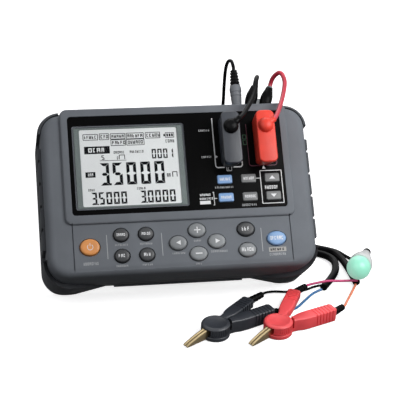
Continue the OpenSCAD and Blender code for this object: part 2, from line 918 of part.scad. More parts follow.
// Single wires at the clips, each from the end of a leg to the boot on a handle
red_wire_route = [[131, -34.5, 5.2], [118.6, -36, 6.4], [108, -37.5, 7.9], [101, -38.4, 7.6], [93.9, -39, 6.6],
    [90.6, -41.2, 6.8]];
orange_wire_route = [[130, -34.5, 1.7], [125.4, -42.5, 1.2], [118.4, -54.6, 1.2], [114.4, -62.5, 2.4],
    [111.6, -66.6, 3.8]];
black_wire_route = [[104.2, -36.6, 4.2], [98.6, -35.2, 2.2], [89.9, -37.6, 1.2], [78.7, -38.4, 1.2],
    [68.5, -37.6, 1.6], [61.5, -41.3, 3.4], [57.6, -46.2, 5]];
blue_wire_route = [[103.4, -39, 2], [96.2, -42.5, 1.2], [88.4, -50.8, 1.1], [80.4, -59.6, 1.1], [73.9, -62.6, 1.2]];
clip_boot_r = 2.1;
clip_boot_tip = 1.5;
red_boot_gap = 1.2;
black_boot_gap = 0.6;

// Smooth curve through the points of a route
function curve_at(p, i, t) =
    let (a = p[max(i - 1, 0)], b = p[i], c = p[i + 1], d = p[min(i + 2, len(p) - 1)])
    0.5 * (2 * b + (c - a) * t + (2 * a - 5 * b + 4 * c - d) * t * t + (3 * b - a - 3 * c + d) * t * t * t);

function smooth(p, steps) =
    [for (i = [0 : len(p) - 2], k = [0 : steps - 1]) curve_at(p, i, k / steps), p[len(p) - 1]];

function unit(v) = v / norm(v);

function way_at(p, i) = unit(p[min(i + 1, len(p) - 1)] - p[max(i - 1, 0)]);

// Sideways directions carried along the line without twist
function carried(side, way) = unit(side - way * (side * way));

function side_list(p) =
    [for (i = 0, side = carried(abs(way_at(p, 0)[2]) < 0.9 ? [0, 0, 1] : [1, 0, 0], way_at(p, 0));
        i < len(p);
        i = i + 1, side = i < len(p) ? carried(side, way_at(p, i)) : side) side];

module tube(p, diameter, sides) {
    side = side_list(p);
    rings = len(p);
    points = [for (i = [0 : rings - 1], k = [0 : sides - 1])
        let (a = 360 * k / sides, up = cross(way_at(p, i), side[i]))
        p[i] + diameter / 2 * (cos(a) * side[i] + sin(a) * up)];
    walls = [for (i = [0 : rings - 2], k = [0 : sides - 1])
        let (a = i * sides + k, b = i * sides + (k + 1) % sides)
        each [[a, a + sides, b], [b, a + sides, b + sides]]];
    start_cap = [for (k = [1 : sides - 2]) [0, k, k + 1]];
    last = (rings - 1) * sides;
    end_cap = [for (k = [1 : sides - 2]) [last, last + k + 1, last + k]];
    polyhedron(points, concat(walls, start_cap, end_cap), convexity = 10);
}

// Loops of a piled coil: in and out at a steady rate, climbing where the spiral reverses
function climb(s) = s < 0 ? 0 : s > 1 ? 1 : s * s * (3 - 2 * s);

function coil_point(turn, turns, layers, r_out, pitch, diameter, layer_step) =
    let (per = turns / layers,
        phase = turn / per,
        inward = phase % 2 <= 1 ? phase % 2 : 2 - phase % 2,
        layer = [for (k = [1 : layers - 1]) climb((turn - k * per) * 2 + 0.5)],
        z = diameter / 2 + layer_step * (layer * [for (k = layer) 1]),
        r = r_out - pitch * per * inward)
    [r, z];

function coil_line(centre, start_angle, way, turns, layers, r_out, pitch, diameter, layer_step) =
    let (body = [for (k = [0 : turns * 24])
            let (turn = k / 24,
                rz = coil_point(turn, turns, layers, r_out, pitch, diameter, layer_step),
                a = start_angle + way * 360 * turn)
            [centre[0] + rz[0] * cos(a), centre[1] + rz[0] * sin(a), rz[1]]],
        first = way * [-sin(start_angle), cos(start_angle), 0],
        end_angle = start_angle + way * 360 * turns,
        last = way * [-sin(end_angle), cos(end_angle), 0])
    concat([body[0] - first * diameter], body, [body[len(body) - 1] + last * diameter]);

// Least gap between turns, measured between points that are not on the same stretch
function least_gap(p, diameter, skip) =
    min([for (i = [0 : len(p) - 1 - skip]) min([for (j = [i + skip : len(p) - 1]) norm(p[i] - p[j])])]) - diameter;

main_centre = [80, 147];
main_mean_r = 31;
main_pitch = main_d * 1.12;
main_r_out = main_mean_r + main_pitch * main_turns / 4;
main_line = coil_line(main_centre, 0, 1, main_turns, 2, main_r_out, main_pitch, main_d, main_d * 1.14);

lamp_centre = [9, 127];
lamp_mean_r = 15;
lamp_pitch = lamp_d * 1.24;
lamp_r_out = lamp_mean_r + lamp_pitch * lamp_turns / 8;
lamp_line = coil_line(lamp_centre, 0, 1, lamp_turns, 4, lamp_r_out, lamp_pitch, lamp_d, lamp_d * 1.26);

module black_branch() {
    color("#1d1e20")
        tube(smooth(black_branch_route, 3), branch_d, 8);
}

module red_branch() {
    color("#c8464d")
        tube(smooth(red_branch_route, 3), branch_d, 8);
}

module main_cord() {
    color("#1d1e20") {
        tube(smooth(concat(main_route, [main_line[0] - [0, main_d, 0], main_line[0]]), 3), main_d, 8);
        tube(smooth(concat([main_line[len(main_line) - 1], main_line[len(main_line) - 1] - [0, main_d, 0]],
            main_tail_route, [splitter_start]), 3), main_d, 8);
    }
}

module main_coil() {
    echo(main_coil_least_gap = least_gap(main_line, main_d, 16));
    color("#1d1e20")
        tube(main_line, main_d, 6);
}

module lamp_coil() {
    echo(lamp_coil_least_gap = least_gap(lamp_line, lamp_d, 16));
    color("#1d1e20")
        tube(lamp_line, lamp_d, 6);
}

module lamp_cord() {
    last = lamp_line[len(lamp_line) - 1];
    color("#1d1e20") {
        tube(smooth(concat(lamp_route, [lamp_line[0] - [0, lamp_d, 0], lamp_line[0]]), 3), lamp_d, 8);
        tube(smooth(concat([last, last + [lamp_d, 0, 0]], lamp_tail_route), 3), lamp_d, 8);
    }
}

module cord_splitter() {
    main_end_r = 3.6;
    broad_r = 3.9;
    leg_end_r = 2.8;
    leg_end_l = 3;
    color("#1b1c1e")
        hull() {
            sleeve(splitter_start, splitter_start + (splitter_end - splitter_start) / 4, main_end_r, broad_r);
            for (end = [black_leg_route[0], red_leg_route[0]])
                sleeve(end - leg_end_l * unit(splitter_end - splitter_start), end, leg_end_r, leg_end_r);
        }
}

module black_leg() {
    color("#1d1e20")
        tube(smooth(black_leg_route, 3), leg_d, 8);
}

module red_leg() {
    color("#1d1e20")
        tube(smooth(red_leg_route, 3), leg_d, 8);
}

module wire(route, boot_end, shade) {
    end = route[len(route) - 1];
    color(shade)
        tube(smooth(route, 3), wire_d, 8);
    color("#1b1c1e")
        sleeve(end, boot_end, clip_boot_tip, clip_boot_r);
}

module red_wire() {
    wire(red_wire_route, lever_end(red_clip, red_boot_gap), "#d0508a");
}

module orange_wire() {
    wire(orange_wire_route, body_end(red_clip, 0.42), "#e58a5c");
}

module black_wire() {
    wire(black_wire_route, lever_end(black_clip, black_boot_gap), "#1d1e20");
}

module blue_wire() {
    wire(blue_wire_route, body_end(black_clip, 0.26), "#2f6fb5");
}

// Clips. Each is its pivot, the ways of its lever, its body handle and its jaws, and the handle lengths
red_pivot = [60, -88];
black_pivot = [17, -86];
red_lever_l = 44;
red_body_l = 45;
black_lever_l = 41;
black_body_l = 46;
red_clip = [red_pivot, 62, 21, 215, red_lever_l, red_body_l];
black_clip = [black_pivot, 45, 24, 212, black_lever_l, black_body_l];
body_gap = 1.2;
disc_t = 3;
drum_gap = 0.3;
pivot_r = 2.4;
handle_root_w = 4.6;
lever_low = 4;
body_top = 9.5;
jaw_low = 1.2;
slot_r = 4.6;
slot_top = 8.3;
slot_sweep = 44;
body_shift = 2;

function around(clip, way, reach, shift, z) =
    [clip[0][0] + reach * cos(way) - shift * sin(way), clip[0][1] + reach * sin(way) + shift * cos(way), z];

function lever_end(clip, gap) = around(clip, clip[1], clip[4] + gap, 0, drum_h * 0.68);

function body_end(clip, share) = around(clip, clip[2], clip[5], -body_shift, drum_h * share);

module at_clip(clip, way) {
    translate([clip[0][0], clip[0][1], 0])
        rotate([0, 0, way])
            children();
}

module handle(from, length, low, high) {
    end_r = handle_w / 2;
    root_r = handle_root_w / 2;
    slab(low, high)
        difference() {
            union() {
                polygon([[from, -root_r], [from, root_r], [length * 0.55, end_r], [length * 0.55, -end_r]]);
                translate([length * 0.55 - over, -end_r])
                    square([length * 0.45 - end_r / 2 + over, 2 * end_r]);
                translate([length - end_r, -end_r / 2])
                    square([end_r, end_r]);
                for (side = [-1, 1])
                    translate([length - end_r / 2, side * end_r / 2])
                        circle(r = end_r / 2, $fn = 40);
            }
        }
}

module clip_body(clip) {
    at_clip(clip, clip[2]) {
        difference() {
            union() {
                cylinder(r = drum_r, h = disc_t, $fn = 64);
                cylinder(r = pivot_r, h = drum_h, $fn = 48);
            }
        }
        translate([0, -body_shift, 0]) {
            slab(0, disc_t)
                translate([drum_r * 0.8, -handle_root_w / 2])
                    square([drum_r, handle_root_w]);
            handle(drum_r + body_gap, clip[5], 0, body_top);
        }
    }
}

module clip_lever(clip) {
    root = disc_t + drum_gap;
    difference() {
        union() {
            at_clip(clip, 0)
                translate([0, 0, root])
                    cylinder(r = drum_r, h = drum_h - root, $fn = 64);
            at_clip(clip, clip[1])
                handle(drum_r * 0.8, clip[4], lever_low, drum_h);
        }
        at_clip(clip, 0)
            cylinder(r = pivot_r + fit_gap, h = drum_h + over, $fn = 48);
        at_clip(clip, clip[3])
            rotate([0, 0, -asin(seat_gap / drum_r)])
                sector(slot_r, drum_r + over, slot_sweep, 0, slot_top);
        at_clip(clip, clip[3])
            translate([slot_r + seat_gap, -seat_gap / 2 - jaw_t, 0])
                cube([drum_r, seat_gap / 2 + jaw_t + over, slot_top]);
    }
}

// A ring sector that opens counter-clockwise from the first axis
module sector(inner, outer, sweep, low, high) {
    slab(low, high)
        difference() {
            polygon(concat([[0, 0]], [for (k = [0 : 8]) let (a = sweep * k / 8)
                1.2 * outer * [cos(a), sin(a)]]));
            circle(r = inner, $fn = 48);
        }
}

// A gilt jaw plate: its root in the drum, then tapering to the tip
module jaw(clip, side, root_z) {
    root_r = slot_r + seat_gap;
    neck = drum_r + drum_gap;
    tip_h = 2;
    step = 1;
    rise = 0.3;
    offset = side > 0 ? seat_gap / 2 : -seat_gap / 2 - jaw_t;
    at_clip(clip, clip[3])
        translate([0, -offset, 0])
            rotate([90, 0, 0])
                linear_extrude(jaw_t)
                    polygon([[root_r, root_z], [neck, root_z], [neck + step, jaw_low], [jaw_reach, jaw_low],
                        [jaw_reach, jaw_low + tip_h], [neck + step, slot_top + rise], [neck, slot_top],
                        [root_r, slot_top]]);
}

module red_clip_body() {
    color("#c8343c")
        clip_body(red_clip);
}

module black_clip_body() {
    color("#2b2e33")
        clip_body(black_clip);
}

module red_clip_lever() {
    color("#c8343c")
        clip_lever(red_clip);
}

module black_clip_lever() {
    color("#2b2e33")
        clip_lever(black_clip);
}

module fixed_jaws() {
    color("#c9ab5d") {
        jaw(red_clip, -1, disc_t);
        jaw(black_clip, -1, disc_t);
    }
}

module red_lever_jaw() {
    color("#c9ab5d")
        jaw(red_clip, 1, disc_t + drum_gap);
}

module black_lever_jaw() {
    color("#c9ab5d")
        jaw(black_clip, 1, disc_t + drum_gap);
}

// Lamp with its dome towards the front and its cord in the side
lamp_dome_at = [131.5, -33, 15];
lamp_end_at = [152.3, 11.8, 2.9];
lamp_way = unit(lamp_end_at - lamp_dome_at);
housing_l = 32;
housing_end_r = 3.4;
knob_l = 9;
knob_r = 3.2;
knob_end_r = 3;

module lamp_dome() {
    color("#6fe0a0")
        translate(lamp_dome_at)
            sphere(r = dome_r, $fn = 48);
}

module lamp_housing() {
    root = lamp_dome_at + (dome_r * 0.7) * lamp_way;
    color("#e4e6e6")
        difference() {
            union() {
                sleeve(root, root + housing_l * lamp_way, housing_r, housing_end_r);
                sleeve(root + (housing_l - over) * lamp_way, root + (housing_l + knob_l) * lamp_way,
                    knob_r, knob_end_r);
            }
            translate(lamp_dome_at)
                sphere(r = dome_r, $fn = 48);
        }
}

// Keys by name

module key_power() { color("#e08a3c") round_key(0); }
module key_compare() { color("#33363a") round_key(1); }
module key_panel() { color("#33363a") round_key(2); }
module key_temperature() { color("#33363a") round_key(3); }
module key_average() { color("#33363a") round_key(4); }
module key_left() { color("#83878b") round_key(5); }
module key_right() { color("#83878b") round_key(6); }
module key_plus() { color("#83878b") round_key(7); }
module key_minus() { color("#83878b") round_key(8); }
module key_escape() { color("#83878b") round_key(9); }
module key_enter() { color("#83878b") round_key(10); }
module key_memory() { color("#3f78c8") round_key(11); }
module key_blue_upper() { color("#3f78c8") square_key(0); }
module key_blue_lower() { color("#3f78c8") square_key(1); }
module key_grey_upper() { color("#9a9ea2") square_key(2); }
module key_grey_lower() { color("#9a9ea2") square_key(3); }
module key_range_up() { color("#9a9ea2") square_key(4); }
module key_range_down() { color("#9a9ea2") square_key(5); }

front_case();
rear_case();
protector();
panel_overlay();
display_window();
display_module();
main_board();
keypad_mat();
battery_cells();
battery_contacts();
battery_cover();
terminal_sockets();
top_jacks();
case_screws();
stand();
key_power();
key_compare();
key_panel();
key_temperature();
key_average();
key_left();
key_right();
key_plus();
key_minus();
key_escape();
key_enter();
key_memory();
key_blue_upper();
key_blue_lower();
key_grey_upper();
key_grey_lower();
key_range_up();
key_range_down();
black_plug();
red_plug();
plug_pins();
lamp_plug();
junction_block();
black_branch();
red_branch();
main_cord();
main_coil();
cord_splitter();
black_leg();
red_leg();
lamp_cord();
lamp_coil();
lamp_dome();
lamp_housing();
black_wire();
blue_wire();
red_wire();
orange_wire();
black_clip_body();
black_clip_lever();
red_clip_body();
red_clip_lever();
fixed_jaws();
black_lever_jaw();
red_lever_jaw();
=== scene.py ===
import math
import random

import bmesh
import bpy
from mathutils import Matrix, Vector


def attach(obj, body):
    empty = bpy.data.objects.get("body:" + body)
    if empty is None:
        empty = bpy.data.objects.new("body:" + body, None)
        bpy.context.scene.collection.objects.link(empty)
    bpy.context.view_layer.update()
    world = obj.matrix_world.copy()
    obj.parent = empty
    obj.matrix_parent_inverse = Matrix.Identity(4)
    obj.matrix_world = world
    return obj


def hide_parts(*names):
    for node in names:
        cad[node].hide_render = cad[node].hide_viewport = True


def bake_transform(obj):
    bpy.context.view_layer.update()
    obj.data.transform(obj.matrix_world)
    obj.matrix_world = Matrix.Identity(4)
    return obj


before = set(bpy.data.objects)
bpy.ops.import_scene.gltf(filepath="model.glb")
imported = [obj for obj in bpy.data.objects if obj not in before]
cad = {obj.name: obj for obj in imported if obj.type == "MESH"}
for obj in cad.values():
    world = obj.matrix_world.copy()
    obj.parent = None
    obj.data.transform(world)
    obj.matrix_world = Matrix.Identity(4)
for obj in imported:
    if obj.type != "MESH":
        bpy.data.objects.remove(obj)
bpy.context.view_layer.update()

# Camera: a long lens a little above the table, turned towards the front left of the
# meter, as the photograph was taken. Places are in millimetres from the frame's origin.
mm = 0.001
MILLI = Matrix.Scale(mm, 4)
camera_place = Vector((-133.91, -815.51, 483.96))
camera_right = Vector((0.98553, -0.16551, 0.03646))
camera_up = Vector((0.0436, 0.4555, 0.88917))
camera_back = camera_right.cross(camera_up)
camera_data = bpy.data.cameras.new("camera")
camera_data.lens = 117
camera_data.sensor_width = 36
camera_data.clip_end = 20


def linked(name, data):
    """A new object of the scene."""
    piece = bpy.data.objects.new(name, data)
    bpy.context.scene.collection.objects.link(piece)
    return piece


camera = linked("camera", camera_data)
turn = Matrix((camera_right, camera_up, camera_back)).transposed().to_4x4()
camera.matrix_world = Matrix.Translation(camera_place * mm) @ turn
bpy.context.scene.camera = camera


# Leads: soft black, red, orange and blue sheaths, drawn as one curve each along the routes
# that the solids follow. What the picture hides of the long ones is wound in a round coil.
class Value:
    """A socket of a material, so that shader maths reads as sums."""

    def __init__(self, tree, socket):
        self.tree = tree
        self.socket = socket

    def _join(self, operation, other):
        node = self.tree.nodes.new("ShaderNodeMath")
        node.operation = operation
        self.tree.links.new(self.socket, node.inputs[0])
        if isinstance(other, Value):
            self.tree.links.new(other.socket, node.inputs[1])
        else:
            node.inputs[1].default_value = other
        return Value(self.tree, node.outputs[0])

    def __add__(self, other):
        return self._join("ADD", other)

    def __radd__(self, other):
        return self._join("ADD", other)

    def __mul__(self, other):
        return self._join("MULTIPLY", other)

    def __rmul__(self, other):
        return self._join("MULTIPLY", other)


class Finish:
    """A procedural material; numbers that don't vary are set on the shader itself."""

    def __init__(self, name, **fixed):
        self.material = bpy.data.materials.new(name)
        self.material.use_nodes = True
        self.tree = self.material.node_tree
        self.shader = self.tree.nodes["Principled BSDF"]
        for socket, value in fixed.items():
            self.shader.inputs[socket.replace("_", " ")].default_value = value
        self.where = self.node("ShaderNodeTexCoord", output="Object")

    def node(self, kind, settings=None, output=0, **sockets):
        node = self.tree.nodes.new(kind)
        for key, value in (settings or {}).items():
            setattr(node, key, value)
        for key, value in sockets.items():
            socket = node.inputs[int(key[1:]) if key[1:].isdigit() else key.replace("_", " ")]
            if isinstance(value, Value):
                self.tree.links.new(value.socket, socket)
            else:
                socket.default_value = value
        return Value(self.tree, node.outputs[output])

    def noise(self, per_metre, detail=2):
        return self.node("ShaderNodeTexNoise", Vector=self.where, Scale=per_metre, Detail=detail)

    def mix(self, mask, first, second):
        return self.node("ShaderNodeMix", {"data_type": "RGBA"}, 2,
                         Factor=mask, i6=first, i7=second)

    def step(self, value, low, high):
        return self.node("ShaderNodeMapRange", {"interpolation_type": "SMOOTHSTEP"},
                         Value=value, From_Min=low, From_Max=high)

    def feed(self, socket, value):
        self.tree.links.new(value.socket, self.shader.inputs[socket])

    def bump(self, height, depth):
        self.feed("Normal", self.node("ShaderNodeBump", Strength=1.0,
                                      Distance=depth, Height=height))


def shade(colour, factor):
    return tuple(min(1, part * factor) for part in colour[:3]) + (1,)


def moulded(name, colour, rough, grain, depth, cloud=0.12, **fixed):
    """Moulded plastic or rubber: fine spark grain, slightly uneven colour and gloss."""
    finish = Finish(name, **fixed)
    cloudy = finish.step(finish.noise(45, 3), 0.35, 0.65)
    fine = finish.noise(grain, 3)
    finish.feed("Base Color", finish.mix(cloudy, shade(colour, 1 - cloud),
                                         shade(colour, 1 + cloud)))
    finish.feed("Roughness", rough - 0.06 + 0.08 * cloudy + 0.06 * fine)
    finish.bump(fine, depth)
    return finish.material


bend_steps = 8


def smooth_line(points):
    """A smooth curve through the points of a route."""
    p = [Vector(point) for point in points]
    line = []
    for i in range(len(p) - 1):
        a, b, c, d = p[max(i - 1, 0)], p[i], p[i + 1], p[min(i + 2, len(p) - 1)]
        for k in range(bend_steps):
            t = k / bend_steps
            line.append(0.5 * (2 * b + (c - a) * t + (2 * a - 5 * b + 4 * c - d) * t ** 2
                               + (3 * b - a - 3 * c + d) * t ** 3))
    return line + [p[-1]]


def coil_line(centre, turns, layers, mean_r, diameter, pitch, layer_step):
    """Loops that spiral in and out, climbing a layer where the spiral reverses."""
    line = []
    per_turn = 48
    per = turns / layers
    r_out = mean_r + pitch * per / 2
    for k in range(int(turns * per_turn) + 1):
        turn_now = k / per_turn
        phase = turn_now / per % 2
        inward = phase if phase <= 1 else 2 - phase
        z = diameter / 2
        for layer in range(1, layers):
            s = min(1, max(0, (turn_now - layer * per) * 2 + 0.5))
            z += layer_step * s * s * (3 - 2 * s)
        r = r_out - pitch * per * inward
        a = 2 * math.pi * turn_now
        line.append(Vector((centre[0] + r * math.cos(a), centre[1] + r * math.sin(a), z)))
    first = Vector((0, 1, 0))
    end = 2 * math.pi * turns
    last = Vector((-math.sin(end), math.cos(end), 0))
    return [line[0] - first * diameter] + line + [line[-1] + last * diameter]


def length_of(line):
    return sum((b - a).length for a, b in zip(line, line[1:]))


def lead(name, line, diameter, sheath, body="meter"):
    """A cord as one open curve with a round section."""
    curve = bpy.data.curves.new(name, "CURVE")
    curve.dimensions = "3D"
    curve.bevel_depth = diameter / 2 * mm
    curve.bevel_resolution = 6
    curve.use_fill_caps = True
    spline = curve.splines.new("POLY")
    spline.points.add(len(line) - 1)
    for point, place in zip(spline.points, line):
        point.co = (*(place * mm), 1)
    spline.use_smooth = True
    curve.materials.append(sheath)
    cord = linked(name, curve)
    if body:
        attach(cord, body)
    return cord


meter_tilt = math.radians(48.6)
meter_y = -22.5326
rest_cut = 1.5
LEAN = (MILLI @ Matrix.Translation((0, meter_y, -rest_cut))
        @ Matrix.Rotation(meter_tilt, 4, "X"))


def meter_point(x, y, z):
    return (LEAN @ Vector((x, y, z))) * 1000


branch_d, main_d, leg_d, wire_d, lamp_d = 3.2, 6.0, 5.5, 1.8, 2.5
junction_x, junction_top = 65.4, 38
lamp_plug_x, lamp_plug_z = 48.3072, 41
black_boot_tip = meter_point(63.4, 139.6, junction_top)
red_boot_tip = meter_point(74.2, 137.8, junction_top)
black_branch_route = [(42.4, -10, 126.4), (46, -4.5, 126.6), (50.6, 4, 127.8), (56.4, 15, 130),
                      (60.2, 24, 133), (62.3, 32.6, 136.3), (64.3, 38.9, 136.3),
                      (64.4, 41.7, 134.2), (64.1, 42.4, 131.5), black_boot_tip]
red_branch_route = [(66.8, -10, 124.5), (70.2, -3.5, 125.2), (74.4, 6, 127.2), (78.8, 17, 131),
                    (82, 27, 135.8), (82, 33.4, 138.8), (80.4, 37.4, 139.8), (78, 40.2, 137),
                    (76.2, 41.6, 133.2), (75.2, 41.6, 129.8), red_boot_tip]
main_start = meter_point(junction_x, 127, 26)
main_route = [main_start, main_start + Vector((0, 6, -5.3)), (66, 62, 97), (67, 71, 82),
              (69, 76, 62), (72, 80, 42), (77, 85, 23), (85, 91, 10), (97, 101, 4),
              (109, 116, 3.2), (116, 131, 3.1)]
main_tail_route = [(43, 125, 9.2), (46, 108, 8.2), (51, 93, 5.4), (58, 74, 3.4), (68, 54, 3.3),
                   (76.5, 43, 4), (78.9, 40, 4)]
black_leg_route = [(89, 27.4, 2.8), (94, 22.8, 2.8), (102.5, 16.6, 2.8), (113, 11.4, 2.8),
                   (120, 5.2, 2.8), (122.4, -4, 2.8), (118, -19, 2.8), (105.1, -37.6, 2.8)]
red_leg_route = [(92.4, 34.2, 2.8), (97, 29, 2.8), (105, 23.5, 2.8), (114.8, 18.7, 2.8),
                 (124.3, 12.8, 2.8), (128.8, 2, 2.8), (130.3, -12, 2.8), (130.9, -33.3, 2.8)]
lamp_start = meter_point(lamp_plug_x, 150.95, lamp_plug_z)
lamp_route = [lamp_start, lamp_start + Vector((0, 2, 2.3)), (47.8, 54.2, 143.2),
              (46.2, 58.4, 140.9), (45.3, 61, 134), (45, 62, 122), (45.4, 65, 104),
              (44.6, 70, 80), (43, 76, 50), (40.5, 81, 24), (37, 87, 8), (32.5, 96, 2),
              (29, 109, 1.4)]
lamp_tail_route = [(24, 107, 7.4), (33, 107, 4.6), (42, 107, 2.2), (52, 102, 1.4), (66, 88, 1.3),
                   (79, 70, 1.3), (89, 51, 1.3), (97.5, 36.5, 1.3), (107, 29, 1.3),
                   (117.5, 24, 1.3), (128.5, 16.5, 1.4), (134.2, 7, 1.5), (136.6, -1.5, 3.4),
                   (138, -5.6, 6.2), (139.4, -6.8, 8.2)]
red_wire_route = [(131, -34.5, 5.2), (118.6, -36, 6.4), (108, -37.5, 7.9), (101, -38.4, 7.6),
                  (93.9, -39, 6.6), (90.6, -41.2, 6.8)]
orange_wire_route = [(130, -34.5, 1.7), (125.4, -42.5, 1.2), (118.4, -54.6, 1.2),
                     (114.4, -62.5, 2.4), (111.6, -66.6, 3.8)]
black_wire_route = [(104.2, -36.6, 4.2), (98.6, -35.2, 2.2), (89.9, -37.6, 1.2),
                    (78.7, -38.4, 1.2), (68.5, -37.6, 1.6), (61.5, -41.3, 3.4), (57.6, -46.2, 5)]
blue_wire_route = [(103.4, -39, 2), (96.2, -42.5, 1.2), (88.4, -50.8, 1.1), (80.4, -59.6, 1.1),
                   (73.9, -62.6, 1.2)]

sheath_black = moulded("sheath_black", (0.004, 0.004, 0.0045), 0.2, 900, 0.00002,
                       Specular_IOR_Level=0.06)
sheath_red = moulded("sheath_red", (0.56, 0.03, 0.06), 0.36, 900, 0.00003)
sheath_pink = moulded("sheath_pink", (0.62, 0.045, 0.19), 0.4, 900, 0.00003)
sheath_orange = moulded("sheath_orange", (0.8, 0.24, 0.13), 0.4, 900, 0.00003)
sheath_blue = moulded("sheath_blue", (0.03, 0.17, 0.42), 0.36, 900, 0.00003)

main_coil = coil_line((80, 147), turns=4.5, layers=2, mean_r=31, diameter=main_d,
                      pitch=main_d * 1.12, layer_step=main_d * 1.14)
lamp_coil = coil_line((9, 127), turns=15.75, layers=4, mean_r=15, diameter=lamp_d,
                      pitch=lamp_d * 1.24, layer_step=lamp_d * 1.26)


def coiled(route, coil, diameter, way_out, tail_route):
    """A route that runs into a coil along y, through it and out again."""
    into = smooth_line(route + [coil[0] - Vector((0, diameter, 0)), coil[0]])
    out = smooth_line([coil[-1], coil[-1] + Vector(way_out)] + tail_route)
    return into[:-1] + coil + out[1:]


main_line = coiled(main_route, main_coil, main_d, (0, -main_d, 0), main_tail_route)
lamp_line = coiled(lamp_route, lamp_coil, lamp_d, (lamp_d, 0, 0), lamp_tail_route)


def replaced(name, line, diameter, sheath, nodes):
    """A lead that takes the place of the solids of its route."""
    cord = lead(name, line, diameter, sheath)
    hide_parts(*nodes)
    return cord


def declared(line, path=None):
    """Works out where a cord starts and how long it is, and keeps neither."""
    tuple(line[0] * mm)
    length_of(line) * mm


black_line = smooth_line(black_branch_route)
red_line = smooth_line(red_branch_route)
black_leg_line = smooth_line(black_leg_route)
red_leg_line = smooth_line(red_leg_route)
black_branch = replaced("black_branch_lead", black_line, branch_d, sheath_black, ["black_branch"])
red_branch = replaced("red_branch_lead", red_line, branch_d, sheath_red, ["red_branch"])
main_lead = replaced("main_lead", main_line, main_d, sheath_black, ["main_cord", "main_coil"])
black_leg = replaced("black_leg_lead", black_leg_line, leg_d, sheath_black, ["black_leg"])
red_leg = replaced("red_leg_lead", red_leg_line, leg_d, sheath_black, ["red_leg"])
lamp_lead = replaced("lamp_lead", lamp_line, lamp_d, sheath_black, ["lamp_cord", "lamp_coil"])
declared(black_leg_line)
declared(red_leg_line)


# Front shell: one grey moulding with a raised frame round the panel and a well for each
# key. It is moulded in hard plastic with a fine grain and screwed to the rear shell.
def deselect():
    if bpy.context.object and bpy.context.object.mode != "OBJECT":
        bpy.ops.object.mode_set(mode="OBJECT")
    bpy.ops.object.select_all(action="DESELECT")


def active(piece):
    deselect()
    piece.select_set(True)
    bpy.context.view_layer.objects.active = piece
    return piece


def settle():
    bpy.ops.object.transform_apply(location=True, rotation=True, scale=True)


def pick_edges(piece, test):
    """Selects, in edit mode, the edges whose two ends pass the test."""
    bpy.ops.mesh.select_mode(type="EDGE")
    bpy.ops.mesh.select_all(action="DESELECT")
    mesh = bmesh.from_edit_mesh(piece.data)
    for edge in mesh.edges:
        edge.select_set(test(edge.verts[0].co, edge.verts[1].co))
    bmesh.update_edit_mesh(piece.data)


def pick_faces(piece, test):
    bpy.ops.mesh.select_mode(type="FACE")
    bpy.ops.mesh.select_all(action="DESELECT")
    mesh = bmesh.from_edit_mesh(piece.data)
    for face in mesh.faces:
        face.select_set(test(face))
    bmesh.update_edit_mesh(piece.data)


def level_edges(piece, level):
    pick_edges(piece, lambda a, b: abs(a.z - level) < 1e-3 and abs(b.z - level) < 1e-3)


def round_off(width, segments=4):
    bpy.ops.mesh.bevel(offset=width, segments=segments, affect="EDGES")


def block(name, low, high, corner=0, front=0, back=0, steps=4, corner_steps=8):
    """A moulded block with rounded corners and soft front and back edges."""
    deselect()
    low, high = Vector(low), Vector(high)
    bpy.ops.mesh.primitive_cube_add(size=1, location=(low + high) / 2)
    piece = bpy.context.object
    piece.name = name
    piece.scale = high - low
    settle()
    bpy.ops.object.mode_set(mode="EDIT")
    if corner:
        pick_edges(piece, lambda a, b: abs(a.z - b.z) > 1e-3)
        round_off(corner, corner_steps)
    if front:
        level_edges(piece, high.z)
        round_off(front, steps)
    if back:
        level_edges(piece, low.z)
        round_off(back, steps)
    bpy.ops.object.mode_set(mode="OBJECT")
    return piece


def oval_hole(name, centre, width, height):
    """An upright oval post that cuts a hole through the face of the shell."""
    deselect()
    bpy.ops.mesh.primitive_cylinder_add(vertices=40, radius=0.5, depth=hole_high - hole_low,
                                        location=(*centre[:2], (hole_low + hole_high) / 2))
    piece = bpy.context.object
    piece.name = name
    piece.scale = (width, height, 1)
    settle()
    return piece


def joined(pieces):
    deselect()
    for piece in pieces:
        piece.select_set(True)
    bpy.context.view_layer.objects.active = pieces[0]
    bpy.ops.object.join()
    return pieces[0]


def carved(piece, tool, operation="DIFFERENCE"):
    active(piece)
    cut = piece.modifiers.new("cut", "BOOLEAN")
    cut.operation = operation
    cut.solver = "EXACT"
    cut.use_self = True
    cut.object = tool
    bpy.ops.object.modifier_apply(modifier=cut.name)
    bpy.data.objects.remove(tool)
    return piece


def finished(piece, material, nodes=(), body="meter", place=LEAN, degrees=35):
    """Puts a piece in its place in the frame, and gives it its finish and its body."""
    if place is not None:
        piece.data.transform(place)
    piece.data.materials.clear()
    piece.data.materials.append(material)
    active(piece)
    bpy.ops.object.shade_smooth_by_angle(angle=math.radians(degrees))
    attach(piece, body)
    if nodes:
        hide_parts(*nodes)
    return piece


